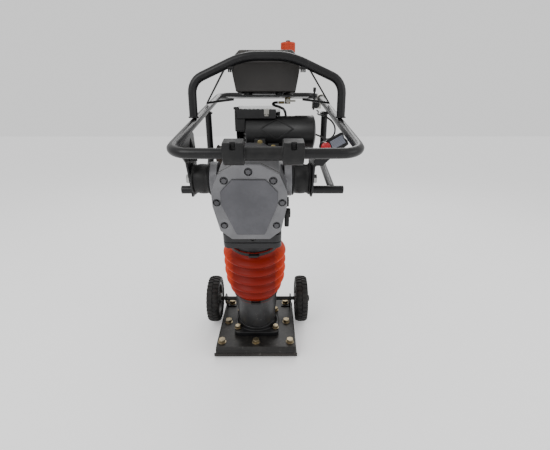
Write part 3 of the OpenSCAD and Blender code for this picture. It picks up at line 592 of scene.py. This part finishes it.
def turned(name: str, profile: Sequence[tuple[float, float]], place: Matrix, sides: int = 64,
           hollow: bool = False) -> bpy.types.Object:
    """Turn a piece: a ring is extruded and scaled along a profile.

    Args:
        name: the piece's name.
        profile: radius and height of each step, in millimetres.
        place: where it goes.
        sides: steps round it.
        hollow: the profile is a closed loop round a hole.

    Returns:
        The piece.
    """
    clear()
    radius, height = profile[0]
    bpy.ops.mesh.primitive_circle_add(vertices=sides, radius=radius * MM, location=(0.0, 0.0, height * MM),
                                      fill_type="NOTHING" if hollow else "NGON")
    thing = bpy.context.object
    thing.name = name
    bpy.ops.object.transform_apply(location=True, rotation=True, scale=True)
    bpy.ops.object.mode_set(mode="EDIT")
    bpy.ops.mesh.select_mode(type="VERT")
    bpy.ops.mesh.select_all(action="SELECT")
    steps = list(profile[1:]) + ([profile[0]] if hollow else [])
    for wide, high in steps:
        bpy.ops.mesh.extrude_region_move(TRANSFORM_OT_translate={"value": (0.0, 0.0, (high - height) * MM)})
        bpy.ops.transform.resize(value=(wide / radius, wide / radius, 1.0),
                                 center_override=(0.0, 0.0, high * MM))
        radius, height = wide, high
    bpy.ops.object.mode_set(mode="OBJECT")
    tidy(thing)
    settle(thing, place)
    return thing


def block(name: str, size: Point, place: Matrix, rounding: float, segments: int = 3) -> bpy.types.Object:
    """A block with rounded edges.

    Args:
        name: the piece's name.
        size: width, depth and height in millimetres.
        place: the place of its middle.
        rounding: the rounding of its edges in millimetres.
        segments: steps across the rounding.

    Returns:
        The piece.
    """
    clear()
    bpy.ops.mesh.primitive_cube_add(size=1.0)
    thing = bpy.context.object
    thing.name = name
    thing.scale = tuple(v * MM for v in size)
    bpy.ops.object.transform_apply(location=True, rotation=True, scale=True)
    soften(thing, rounding, segments)
    settle(thing, place)
    return thing


def bolt(name: str, flats: float, height: float = 0.5) -> bpy.types.Object:
    """A hexagon headed bolt with its washer, seated at the origin.

    Args:
        name: the piece's name.
        flats: size across the flats in millimetres.
        height: height of the head as a share of flats.

    Returns:
        The bolt.
    """
    washer = turned(name + "Washer", [(flats * 0.64, 0.0), (flats * 0.68, 0.4), (flats * 0.68, flats * 0.08),
                                      (flats * 0.64, flats * 0.1)], Matrix(), 32)
    clear()
    bpy.ops.mesh.primitive_cylinder_add(vertices=6, radius=flats / 1.732 * MM, depth=flats * height * MM,
                                        location=(0.0, 0.0, (flats * 0.1 + flats * height / 2) * MM))
    head = bpy.context.object
    head.name = name
    bpy.ops.object.transform_apply(location=True, rotation=True, scale=True)
    pick(head, lambda centre, normal: normal.z > 0.9)
    bpy.ops.mesh.inset(thickness=flats * 0.05 * MM)
    bpy.ops.transform.translate(value=(0.0, 0.0, flats * 0.03 * MM))
    bpy.ops.mesh.inset(thickness=flats * 0.12 * MM)
    bpy.ops.transform.translate(value=(0.0, 0.0, -flats * 0.02 * MM))
    bpy.ops.object.mode_set(mode="OBJECT")
    soften(head, 0.4, 1)
    return joined(name, [head, washer])


def joined(name: str, things: Sequence[bpy.types.Object]) -> bpy.types.Object:
    """Join pieces into one.

    Args:
        name: the joined piece's name.
        things: the pieces.

    Returns:
        The joined piece.
    """
    take_up(things[0])
    for thing in things[1:]:
        thing.select_set(True)
    bpy.ops.object.join()
    things[0].name = name
    return things[0]


def copied(name: str, pattern: bpy.types.Object, places: Sequence[Matrix]) -> bpy.types.Object:
    """Copy a piece that was modelled at the origin to each place and join the copies.

    Args:
        name: the name of the joined copies.
        pattern: the piece to copy.
        places: where the copies go.

    Returns:
        The joined copies.
    """
    made = []
    for place in places:
        take_up(pattern)
        bpy.ops.object.duplicate(linked=False)
        twin = bpy.context.object
        settle(twin, place)
        made.append(twin)
    bpy.data.objects.remove(pattern)
    return joined(name, made)


def hose(name: str, route: Sequence[Point], radius: float, sides: int = 4) -> bpy.types.Object:
    """A smooth tube through the points of a route.

    Args:
        name: the piece's name.
        route: the points in millimetres.
        radius: the tube's radius in millimetres.
        sides: steps round a quarter of it.

    Returns:
        The tube as a mesh.
    """
    clear()
    curve = bpy.data.curves.new(name, "CURVE")
    curve.dimensions = "3D"
    curve.bevel_depth = radius * MM
    curve.bevel_resolution = sides
    curve.use_fill_caps = True
    curve.resolution_u = 8
    spline = curve.splines.new("BEZIER")
    spline.bezier_points.add(len(route) - 1)
    for point, at in zip(spline.bezier_points, route):
        point.co = Vector(at) * MM
        point.handle_left_type = point.handle_right_type = "AUTO"
    thing = bpy.data.objects.new(name, curve)
    bpy.context.scene.collection.objects.link(thing)
    take_up(thing)
    bpy.ops.object.convert(target="MESH")
    thing = bpy.context.object
    tidy(thing, 60.0)
    return thing


@dataclass
class Kit:
    """The frame and the finishes that every sub-assembly draws on."""

    frame: dict
    wardrobe: Wardrobe

    def __post_init__(self) -> None:
        """Look up each node's body and slot."""
        record = self.frame["record"]
        self.body = {node: body for body, nodes in record["behaviour"]["bodies"].items() for node in nodes}
        self.slots = {row["node"]: row["material_slot"] for row in record["subparts"]}

    def fit(self, thing: bpy.types.Object, near: str, slot: str = "", stands_for: Sequence[str] = (),
            blend: tuple[str, str, Point, Point] | None = None) -> bpy.types.Object:
        """Dress a finished piece and fasten it to the machine, unless it spans two bodies.

        Args:
            thing: the piece.
            near: the CAD node whose body it rides on.
            slot: its material slot, or the node's own.
            stands_for: CAD nodes that it replaces.
            blend: two bodies and two points, for a piece that spans them; only whether it is given is read,
                and such a piece is baked in place and left unfastened.

        Returns:
            The piece.
        """
        slot = slot or self.slots[near]
        thing.data.materials.clear()
        thing.data.materials.append(self.wardrobe.by_slot[slot])
        if blend is None:
            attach(thing, self.body[near])
        else:
            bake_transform(thing)
        if stands_for:
            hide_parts(*stands_for)
        log.info("%s: %d faces on %s", thing.name, len(thing.data.polygons), self.body[near])
        return thing

    def recast(self, node: str, name: str, rounding: float, segments: int = 2,
               shading: Shading = Shading.CRISP) -> bpy.types.Object:
        """Copy a CAD node, join its triangles into faces and round its edges.

        Args:
            node: the CAD node.
            name: the new piece's name.
            rounding: the rounding in millimetres.
            segments: steps across the rounding.
            shading: how the piece is smoothed.

        Returns:
            The copy, not yet fitted.
        """
        thing = bpy.data.objects.new(name, self.frame["nodes"][node].data.copy())
        bpy.context.scene.collection.objects.link(thing)
        take_up(thing)
        bpy.ops.object.mode_set(mode="EDIT")
        bpy.ops.mesh.select_mode(type="VERT")
        bpy.ops.mesh.select_all(action="SELECT")
        bpy.ops.mesh.remove_doubles(threshold=0.00001)
        if shading is Shading.SWEPT:
            bpy.ops.mesh.tris_convert_to_quads()
            bpy.ops.object.mode_set(mode="OBJECT")
            refine(thing, "SUBSURF", levels=1, render_levels=1)
            take_up(thing)
            bpy.ops.object.shade_smooth_by_angle(angle=math.radians(50.0))
        else:
            bpy.ops.mesh.dissolve_limited(angle_limit=math.radians(0.5))
            bpy.ops.object.mode_set(mode="OBJECT")
            soften(thing, rounding, segments)
        return thing

    def renew(self, node: str, name: str, rounding: float, segments: int = 2,
              shading: Shading = Shading.CRISP) -> bpy.types.Object:
        """Recast a CAD node and put the copy in its place.

        Args:
            node: the CAD node.
            name: the new piece's name.
            rounding: the rounding in millimetres.
            segments: steps across the rounding.
            shading: how the piece is smoothed.

        Returns:
            The piece.
        """
        return self.fit(self.recast(node, name, rounding, segments, shading), node, stands_for=[node])


# ---------------------------------------------------------------- foot


@dataclass
class Shoe:
    """The tamping shoe and the casting bolted to it."""

    bolt_flats: float = 22.0
    foot_flats: float = 19.0
    top: float = 45.0
    spots: tuple[tuple[float, float], ...] = ((0, -138), (123, -137), (-123, -137), (114, -13), (-114, -13))
    rear_spots: tuple[tuple[float, float], ...] = ((114, 121), (-114, 121))
    foot_spots: tuple[tuple[float, float], ...] = ((-71, -76), (-71, 44), (71, -76), (71, 44))

    def build(self, kit: Kit) -> None:
        """Build the shoe.

        Args:
            kit: the frame and finishes.
        """
        kit.renew("wear_plate", "WearPlate", 1.6, 3)
        kit.renew("sole_board", "SoleBoard", 0.5, 1)
        kit.renew("shoe_top", "ShoePan", 2.4, 3)
        kit.renew("foot_casting", "FootCasting", 2.5, 3)
        places = [stand((x, y, self.top + 0.05)) for x, y in self.spots]
        places += [stand((x, y, self.top + 5.1)) for x, y in self.rear_spots]
        big = copied("ShoeBolts", bolt("ShoeBolt", self.bolt_flats), places)
        small = copied("FootBolts", bolt("FootBolt", self.foot_flats),
                       [stand((x, y, 63.1)) for x, y in self.foot_spots])
        kit.fit(big, "shoe_bolts", stands_for=["shoe_bolts"])
        kit.fit(small, "shoe_bolts")


@dataclass
class Wheels:
    """The two transport wheels and their axle."""

    track: float = 352.0
    axle_y: float = 69.0
    axle_z: float = 105.0
    radius: float = 94.0
    width: float = 48.0
    lugs: int = 32

    def tyre(self, name: str, place: Matrix) -> bpy.types.Object:
        """A solid tyre with two staggered rows of tread blocks.

        Args:
            name: its name.
            place: the wheel's centre, with Z along the axle.

        Returns:
            The tyre.
        """
        crown = self.radius - 2.7
        half = self.width / 2
        profile = [(66.2, 5 - half), (72.0, 1 - half), (79.0, -half), (85.0, 2.4 - half), (88.6, 7 - half),
                   (crown - 0.6, 14 - half), (crown, -2.0), (crown - 1.4, -1.0)]
        profile += [(r, -h) for r, h in reversed(profile)]
        thing = turned(name, profile, Matrix(), self.lugs * 4, hollow=True)
        step = math.tau / self.lugs

        def lug(centre: Vector, normal: Vector) -> bool:
            """Say whether a face lies under a tread block."""
            ring = math.hypot(centre.x, centre.y)
            if ring < (crown - 5.0) * MM or abs(centre.z) < 1.4 * MM:
                return False
            around = (math.atan2(centre.y, centre.x) + (step / 2 if centre.z > 0 else 0.0)) % step
            return around < step * 0.55

        pick(thing, lug)
        bpy.ops.mesh.extrude_region_shrink_fatten(
            TRANSFORM_OT_shrink_fatten={"value": 2.2 * MM, "use_even_offset": True})
        bpy.ops.mesh.inset(thickness=0.6 * MM, depth=0.3 * MM)
        bpy.ops.object.mode_set(mode="OBJECT")
        tidy(thing, 25.0)
        settle(thing, place)
        return thing

    def rim(self, name: str, place: Matrix, out: float) -> bpy.types.Object:
        """A pressed steel rim with its hub.

        Args:
            name: its name.
            place: the wheel's centre, with Z along the axle.
            out: which way the outer face looks along the axle.

        Returns:
            The rim.
        """
        profile = [(8.1, -25), (20, -25), (21, -24), (21, -9), (28, -6), (50, -5), (56, -9), (58, -18),
                   (61, -20), (65.9, -20), (65.9, 20), (61, 20), (58, 18), (56, 2), (50, 5), (28, 4),
                   (21, 9), (21, 24), (20, 25), (8.1, 25)]
        if out < 0:
            profile = [(r, -h) for r, h in reversed(profile)]
        thing = turned(name, profile, place, 64, hollow=True)
        soften(thing, 0.7, 2, 40.0)
        return thing

    def build(self, kit: Kit) -> None:
        """Build the wheels.

        Args:
            kit: the frame and finishes.
        """
        for side, sign in (("left", -1.0), ("right", 1.0)):
            place = stand((sign * self.track / 2, self.axle_y, self.axle_z), (1.0, 0.0, 0.0))
            label = side.capitalize()
            tyre, rim = f"wheel_tyre_{side}", f"wheel_rim_{side}"
            kit.fit(self.tyre(f"Tyre{label}", place), tyre, stands_for=[tyre])
            kit.fit(self.rim(f"Rim{label}", place, sign), rim, stands_for=[rim])
            start = self.track / 2 + 27.2
            cap = turned(f"HubCap{label}", [(11, 0), (13, 1), (13, 5.2), (10.6, 7.5), (4, 8.1)],
                         stand((sign * start, self.axle_y, self.axle_z), (sign, 0.0, 0.0)), 32)
            kit.fit(cap, "wheel_bracket", "black_paint")
        kit.renew("wheel_bracket", "WheelBracket", 1.0, 2)


@dataclass
class Leg:
    """The leg tube and the bellows between foot and machine."""

    pleats: int = 5
    low: float = 240.0
    high: float = 416.0
    ridge: float = 105.6
    valley: float = 87.0

    def bellows(self, kit: Kit) -> None:
        """The pleated bellows, baked in place between foot and machine.

        Args:
            kit: the frame and finishes.
        """
        pitch = (self.high - self.low) / self.pleats
        outside = [(79.4, 222.0), (79.8, 228.0), (79.4, 236.0)]
        for i in range(self.pleats):
            low_cut = 13.0 if i == 0 else (3.0 if i == 1 else 0.0)
            base = self.low + i * pitch
            valley = 82.0 if i == 0 else self.valley
            for share, blend in ((0.02, 0.0), (0.1, 0.12), (0.2, 0.42), (0.31, 0.74), (0.41, 0.93),
                                 (0.5, 1.0), (0.58, 0.97), (0.67, 0.80), (0.78, 0.46), (0.9, 0.14)):
                peak = self.ridge - low_cut
                outside.append((valley + (peak - valley) * blend, base + pitch * share))
        outside += [(85.0, 414.0), (80.6, 419.0), (80.0, 426.0), (80.2, 437.0)]
        inside = [(max(r - 3.4, 75.8), h) for r, h in reversed(outside)]
        thing = turned("Bellows", outside + inside, LEG, 128, hollow=True)
        take_up(thing)
        bpy.ops.object.shade_smooth_by_angle(angle=math.radians(80.0))
        start, end = LEG @ Vector((0, 0, self.low * MM)), LEG @ Vector((0, 0, self.high * MM))
        kit.fit(thing, "bellows", stands_for=["bellows"], blend=("foot", "machine", tuple(start), tuple(end)))

    def build(self, kit: Kit) -> None:
        """Build the leg.

        Args:
            kit: the frame and finishes.
        """
        kit.renew("leg_tube", "LegTube", 1.5, 3)
        kit.renew("lower_clamp", "LowerClamp", 0.4, 1)
        kit.renew("upper_clamp", "UpperClamp", 0.4, 1)
        self.bellows(kit)


# ---------------------------------------------------------------- machine


@dataclass
class GearCase:
    """The gear case with its cover, flange, mounts and fittings."""

    front: float = -115.0
    cover: float = 14.0
    mount_x: float = 118.05
    mount_y: float = -7.0
    mount_t: float = 655.0
    flange_low: float = 467.9
    flange_high: float = 515.1
    cover_spots: tuple[tuple[float, float], ...] = (
        (0, 723), (64, 699), (88, 636), (73, 566), (-73, 566), (-88, 636), (-64, 699))
    flange_spots: tuple[tuple[float, float], ...] = ((70, -72), (-70, -72), (73.6, 50), (-73.6, 50))
    nut_spots: tuple[tuple[float, float], ...] = ((70, -84), (-70, -84))

    def mount(self, name: str, sign: float) -> bpy.types.Object:
        """A rubber shock mount between its two flanged cups.

        Args:
            name: its name.
            sign: which side it is on.

        Returns:
            The mount.
        """
        profile = [(40, 0.1), (47, 0.6), (48, 2), (48, 4.2), (46.5, 5), (43.5, 6.5), (42, 10), (43.2, 16),
                   (43.8, 24), (43.2, 34), (41.5, 41), (42.5, 46), (45.2, 48.5), (46, 49.4), (46, 52.4),
                   (44.6, 53.4), (34, 53.5)]
        place = stand((sign * self.mount_x, self.mount_y, self.mount_t), (sign, 0, 0), True)
        return turned(name, profile, place, 64)

    def build(self, kit: Kit) -> None:
        """Build the gear case.

        Args:
            kit: the frame and finishes.
        """
        kit.renew("guide_cylinder", "GuideCylinder", 2.0, 2)
        kit.renew("gear_case", "GearHousing", 3.0, 3)
        kit.renew("case_cover", "FrontCover", 2.2, 3)
        kit.renew("cover_panel", "CoverPanel", 2.4, 3)
        kit.renew("sight_glass", "SightPlug", 0.8, 2)
        seat = self.front - 1.35 - self.cover + 6.0
        heads = copied("CoverBolts", bolt("CoverBolt", 13.0),
                       [stand((x, seat, t), (0, -1, 0), True) for x, t in self.cover_spots])
        # The cover bolts take the dark spring steel finish as painted shade. It stands in for the shadow of
        # the pockets they sit in.
        kit.fit(heads, "case_bolts", "spring_steel", stands_for=["case_bolts"])
        flange = copied("FlangeBolts", bolt("FlangeBolt", 17.0),
                        [stand((x, y, self.flange_low), (0, 0, -1), True) for x, y in self.flange_spots])
        kit.fit(flange, "case_bolts")
        nuts = copied("FlangeNuts", bolt("FlangeNut", 17.0, 0.42),
                      [stand((x, y, self.flange_high), (0, 0, 1), True) for x, y in self.nut_spots])
        kit.fit(nuts, "gear_case", "cast_alloy")
        plug = [(9, 0), (9.5, 0.4), (9.5, 2), (8, 2.8), (5.2, 2.8), (4.6, 0.6), (0.6, 0.5)]
        drain = turned("DrainPlug", plug, stand((2, -100.05, 502), (0, -1, 0), True), 32)
        kit.fit(drain, "gear_case", "black_plastic")
        elbow = joined("BreatherElbow", [
            turned("ElbowNeck", [(7, -2), (13, -1.5), (14.5, 2), (14.5, 12), (13, 15), (6, 15.5)],
                   stand((99, -66, 572), (1, 0, 0), True), 32),
            block("ElbowTail", (14, 18, 40), stand((104, -66, 548), leg=True), 4.0, 3)])
        kit.fit(elbow, "gear_case", "rubber")
        pair = joined("ShockMounts", [self.mount("MountLeft", -1.0), self.mount("MountRight", 1.0)])
        kit.fit(pair, "shock_mounts", stands_for=["shock_mounts"])


@dataclass
class Engine:
    """The engine behind the gear case."""

    roundings: tuple[tuple[str, str, float], ...] = (
        ("clutch_housing", "ClutchHousing", 1.8), ("engine_block", "Crankcase", 2.5),
        ("cylinder_fins", "CylinderFins", 0.8), ("engine_shroud", "CylinderShroud", 1.4),
        ("spark_plug", "SparkPlugBoot", 1.0), ("muffler", "Muffler", 1.6),
        ("carburettor", "Carburettor", 1.6), ("throttle_arm", "ThrottleArm", 0.4),
        ("choke_lever", "ChokeLever", 0.6), ("fan_housing", "RecoilHousing", 2.0),
        ("starter_pulley", "StarterPulley", 0.6), ("pull_grip", "PullGrip", 2.2))

    def build(self, kit: Kit) -> None:
        """Build the engine.

        Args:
            kit: the frame and finishes.
        """
        for node, name, rounding in self.roundings:
            kit.renew(node, name, rounding, 2)


@dataclass
class AirCleaner:
    """The air cleaner canister with its box and duct."""

    axis_y: float = -39.0
    axis_z: float = 765.0
    start: float = -20.0
    radius: float = 50.0
    diamond_rise: float = 14.0
    lug_spots: tuple[tuple[float, float], ...] = ((24.0, 740.0), (64.0, 726.0))

    def diamond(self, middle: float, half: Point) -> bpy.types.Object:
        """A raised diamond that follows the canister's front.

        Args:
            middle: its place along the canister.
            half: half width, half height and thickness.

        Returns:
            The diamond.
        """
        clear()
        bpy.ops.mesh.primitive_grid_add(x_subdivisions=14, y_subdivisions=14, size=2.0)
        thing = bpy.context.object
        thing.name = "CleanerDiamond"
        pick(thing, lambda centre, _: max(abs(centre.x), abs(centre.y)) < 0.85)
        bpy.ops.mesh.delete(type="FACE")
        bpy.ops.object.mode_set(mode="OBJECT")
        for vertex in thing.data.vertices:
            u, v = vertex.co.x, vertex.co.y
            across, along = (u + v) / 2 * half[1], (u - v) / 2 * half[0]
            angle = (across + self.diamond_rise) / self.radius
            vertex.co = Vector((middle + along, self.axis_y - math.cos(angle) * (self.radius + 0.3),
                                self.axis_z + math.sin(angle) * (self.radius + 0.3))) * MM
        tidy(thing)
        refine(thing, "SOLIDIFY", thickness=half[2] * MM, offset=0.0)
        soften(thing, 0.7, 2)
        return thing

    def canister(self) -> bpy.types.Object:
        """The ribbed canister with its domed right end.

        Returns:
            The canister.
        """
        r = self.radius
        profile = [(20, 0.3), (r - 3, 0.3), (r - 0.5, 2.5), (r - 0.5, 150), (r + 0.6, 152), (r + 0.6, 198),
                   (r + 1.8, 202), (r + 1.8, 206), (r - 2, 209), (r - 8, 211), (r - 16, 213), (24, 214.6),
                   (12, 215.7)]
        place = stand((self.start, self.axis_y, self.axis_z), (1, 0, 0))
        return turned("CleanerCanister", profile, place, 96)

    def build(self, kit: Kit) -> None:
        """Build the air cleaner.

        Args:
            kit: the frame and finishes.
        """
        kit.fit(self.canister(), "air_cleaner", stands_for=["air_cleaner"])
        kit.fit(self.diamond(74.0, (52.0, 34.0, 2.2)), "air_cleaner")
        kit.renew("air_duct", "CleanerBox", 2.6, 3)
        ribs = [block(f"CleanerRib{i}", (2.2, 70.4, 3.0), stand((-34 + i * 13.0, -40.0, 833.2)), 0.8, 2)
                for i in range(8)]
        kit.fit(joined("CleanerRibs", ribs), "air_duct")
        clip = joined("CleanerClip", [
            block("ClipPlate", (15, 2.0, 15), stand((44, -76.2, 826)), 0.6, 2),
            block("ClipBow", (3, 6, 18), stand((44, -79, 824)), 1.2, 2),
            block("ClipCatch", (12, 5, 3.4), stand((44, -77.5, 815)), 1.0, 2)])
        kit.fit(clip, "air_duct", "lever_steel")
        lugs = [block(f"CleanerLug{i}", (34, 16, 22), stand((x, -88, z)), 3.0, 3)
                for i, (x, z) in enumerate(self.lug_spots)]
        kit.fit(joined("CleanerLugs", lugs), "air_cleaner")
        screws = copied("CleanerScrews", bolt("CleanerScrew", 11.0),
                        [stand((x, -96, z), (0, -1, 0)) for x, z in self.lug_spots])
        kit.fit(screws, "air_cleaner", "brass")


# ---------------------------------------------------------------- handle


@dataclass
class Handle:
    """The looped handle, its arch, side frames and brackets."""

    offset: float = 46.6
    tube: float = 12.0

    def bead(self, name: str, ring: float, place: Matrix, thick: float = 2.3) -> bpy.types.Object:
        """A weld bead round the end of a tube.

        Args:
            name: its name.
            ring: radius of the tube in millimetres.
            place: the middle of the bead, with Z along the tube.
            thick: radius of the bead itself in millimetres.

        Returns:
            The bead.
        """
        clear()
        bpy.ops.mesh.primitive_torus_add(major_segments=48, minor_segments=10, major_radius=(ring + 0.6) * MM,
                                         minor_radius=thick * MM)
        thing = bpy.context.object
        thing.name = name
        for vertex in thing.data.vertices:
            wave = math.sin(math.atan2(vertex.co.y, vertex.co.x) * 16)
            vertex.co *= 1.0 + 0.02 * wave
        tidy(thing, 60.0)
        settle(thing, place)
        return thing

    def build(self, kit: Kit) -> None:
        """Build the handle.

        Args:
            kit: the frame and finishes.
        """
        kit.renew("handle_loop", "HandleLoop", 0.0, 1, Shading.SWEPT)
        kit.renew("arch", "HandleArch", 0.6, 1)
        kit.renew("side_frames", "SideFrames", 0.6, 1)
        kit.renew("mount_brackets", "MountBrackets", 1.0, 2)
        kit.renew("label_plate", "LabelPlate", 0.25, 1)
        kit.renew("rubber_blocks", "RubberBlocks", 3.0, 4)
        kit.renew("mount_bolts", "MountBolts", 0.9, 2)
        beads = [self.bead(f"FootBead{i}", self.tube, stand((self.offset + side * 212, -109, 811)))
                 for i, side in enumerate((-1, 1))]
        beads += [self.bead(f"FrameBead{i}", 11.4, stand((x, 91, 822.4), (0.0, -0.2, 0.98)), 3.4)
                  for i, x in enumerate((-160, 240))]
        kit.fit(joined("WeldBeads", beads), "handle_loop")
        clips = []
        for i, side in enumerate((-1, 1)):
            base = Vector((self.offset + side * 100.0, -109.0, 938.0))
            clips.append(block(f"ClipPad{i}", (17, 14, 7), stand(tuple(base)), 1.6, 2))
            for k in (-1, 0, 1):
                tooth = base + Vector((k * 5.2, 0, -6))
                clips.append(block(f"ClipTooth{i}{k}", (3.6, 11, 9), stand(tuple(tooth)), 1.0, 2))
        kit.fit(joined("ArchClips", clips), "arch", "rubber")


@dataclass
class Tank:
    """The fuel tank with its cap, tap and tray."""

    middle: float = 42.0
    base: float = 880.0
    height: float = 115.0
    cap_at: tuple[float, float] = (109.0, 20.0)

    def shell(self, kit: Kit) -> bpy.types.Object:
        """The moulded tank with its seam.

        Args:
            kit: the frame and finishes.

        Returns:
            The tank.
        """
        thing = kit.recast("fuel_tank", "FuelTank", 5.0, 4)
        take_up(thing)
        bpy.ops.object.mode_set(mode="EDIT")
        bpy.ops.mesh.select_all(action="SELECT")
        bpy.ops.mesh.bisect(plane_co=(0.0, 0.0, (self.base + 78.0) * MM), plane_no=(0.0, 0.0, 1.0))
        bpy.ops.mesh.select_mode(type="EDGE")
        bpy.ops.mesh.bevel(offset=1.3 * MM, segments=1)
        bpy.ops.mesh.extrude_region_shrink_fatten(TRANSFORM_OT_shrink_fatten={"value": 1.0 * MM})
        bpy.ops.object.mode_set(mode="OBJECT")
        bpy.ops.mesh.customdata_custom_splitnormals_clear()
        bpy.ops.object.shade_smooth_by_angle(angle=math.radians(32.0))
        refine(thing, "WEIGHTED_NORMAL", keep_sharp=True, weight=100)
        return thing

    def build(self, kit: Kit) -> None:
        """Build the tank.

        Args:
            kit: the frame and finishes.
        """
        kit.fit(self.shell(kit), "fuel_tank", stands_for=["fuel_tank"])
        kit.renew("fuel_cap", "FuelCap", 0.8, 2)
        x, y = self.cap_at
        top = self.base + self.height + 0.3 + 25.0
        knob = turned("CapVent", [(9.5, 0.05), (9.5, 1.2), (7.4, 1.8), (6.8, 5.0), (6.4, 6.0), (3.0, 6.1)],
                      stand((x, y, top)), 32)
        kit.fit(knob, "fuel_cap", "black_plastic")
        kit.renew("tank_tray", "TankTray", 0.9, 2)
        kit.renew("fuel_tap", "FuelTap", 0.9, 2)
        kit.renew("tap_lever", "TapLever", 0.6, 2)


@dataclass
class Controls:
    """Throttle, stop button, cable and hose."""

    cable: tuple[Point, ...] = (
        (236, 274, 832), (236, 230, 828), (226, 150, 823), (221, 95, 818), (240, 62, 811), (264, 48, 792),
        (271, 40, 770), (264, 34, 750), (246, 30, 741), (226, 26, 748), (200, 24, 757), (160, 26, 760),
        (122, 30, 758), (118, 31, 758.5))
    fuel: tuple[Point, ...] = (
        (78.5, 20, 854), (72, 19, 854), (64, 8, 851), (66, -6, 846), (84, -12, 840), (100, 8, 830),
        (104, 34, 800), (98, 54, 775), (93.5, 58, 760), (91, 60, 754))

    def build(self, kit: Kit) -> None:
        """Build the controls.

        Args:
            kit: the frame and finishes.
        """
        kit.fit(kit.recast("throttle_bracket", "ThrottleBracket", 0.9), "throttle_bracket", "lever_steel",
                ["throttle_bracket"])
        kit.renew("throttle_lever", "ThrottleLever", 1.2, 2)
        kit.renew("stop_switch", "StopSwitch", 0.8, 2)
        profile = [(5, -16), (5, 0), (11.6, 0.2), (12.9, 1.6), (13, 6), (12, 8.6), (9, 10.4), (4, 11)]
        button = turned("StopButton", profile, stand((201, -233.4, 739), (0, -1, 0)), 48)
        kit.fit(button, "stop_button", stands_for=["stop_button"])
        cable = hose("ThrottleCable", self.cable, 2.8)
        kit.fit(cable, "throttle_cable", stands_for=["throttle_cable"],
                blend=("handle", "machine", (0.23, 0.15, 0.823), (0.2, 0.024, 0.757)))
        fuel = hose("FuelHose", self.fuel, 3.9)
        kit.fit(fuel, "fuel_hose", stands_for=["fuel_hose"],
                blend=("handle", "machine", (0.072, 0.0, 0.851), (0.1, 0.04, 0.79)))


# ---------------------------------------------------------------- setting


@dataclass
class Studio:
    """Floor, lights and camera."""

    eye: Point = (0.065, -1.130, 0.822)
    pitch: float = 21.1
    lens: float = 21.67
    lift: float = 0.029
    swing: float = -0.004

    def camera(self) -> None:
        """Place the camera."""
        data = bpy.data.cameras.new("Camera")
        data.lens = self.lens
        data.sensor_width = 36.0
        data.shift_y = self.lift
        thing = bpy.data.objects.new("Camera", data)
        thing.location = self.eye
        thing.rotation_euler = (math.radians(90.0 - self.pitch), 0.0, self.swing)
        bpy.context.scene.collection.objects.link(thing)
        bpy.context.scene.camera = thing

    def floor(self) -> None:
        """Lay the pale floor."""
        bpy.ops.object.select_all(action="DESELECT")
        bpy.ops.mesh.primitive_plane_add(size=24.0, location=(0.0, 0.0, -0.0005))
        floor = bpy.context.object
        floor.name = "StudioFloor"
        shop = Shop("FloorPaper")
        paper = shop.noise(shop.coords(), 3.0)
        shader = shop.add("ShaderNodeBsdfPrincipled", None, {
            "Base Color": shop.mix(paper, (0.9, 0.9, 0.9), (0.93, 0.93, 0.93)), "Roughness": 0.9,
            "Emission Color": (1.0, 1.0, 1.0), "Emission Strength": 0.2})
        out = shop.add("ShaderNodeOutputMaterial")
        shop.tree.links.new(shader.outputs[0], out.inputs[0])
        floor.data.materials.append(shop.material)

    def lamp(self, name: str, at: Point, aim: Point, size: float, power: float) -> None:
        """Hang a square soft light.

        Args:
            name: its name.
            at: where it hangs.
            aim: the point it faces.
            size: its side in metres.
            power: its power in watts.
        """
        data = bpy.data.lights.new(name, "AREA")
        data.size = size
        data.energy = power
        thing = bpy.data.objects.new(name, data)
        thing.location = at
        thing.rotation_euler = (Vector(aim) - Vector(at)).to_track_quat("-Z", "Y").to_euler()
        bpy.context.scene.collection.objects.link(thing)

    def light(self) -> None:
        """Light the set."""
        self.lamp("KeyLight", (-1.6, -2.2, 2.6), (0.0, 0.0, 0.6), 1.6, 42.0)
        self.lamp("FillLight", (2.4, -1.6, 1.6), (0.0, 0.0, 0.6), 1.8, 16.0)
        self.lamp("BackLight", (0.3, 2.2, 2.4), (0.0, 0.0, 0.7), 1.6, 26.0)
        world = bpy.data.worlds.new("StudioAir")
        world.use_nodes = True
        world.node_tree.nodes["Background"].inputs[0].default_value = (1.0, 1.0, 1.0, 1.0)
        world.node_tree.nodes["Background"].inputs[1].default_value = 1.0
        bpy.context.scene.world = world


def main() -> None:
    """Build the set, then every sub-assembly in order."""
    logging.basicConfig(level=logging.INFO, format="%(name)s: %(message)s")
    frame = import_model()
    studio = Studio()
    studio.camera()
    studio.floor()
    studio.light()
    wardrobe = Wardrobe()
    wardrobe.dress_frame(frame)
    kit = Kit(frame, wardrobe)
    for assembly in (Shoe(), Wheels(), Leg(), GearCase(), Engine(), AirCleaner(), Handle(), Tank(),
                     Controls()):
        log.info("building %s", type(assembly).__name__)
        assembly.build(kit)


if __name__ == "__main__":
    main()
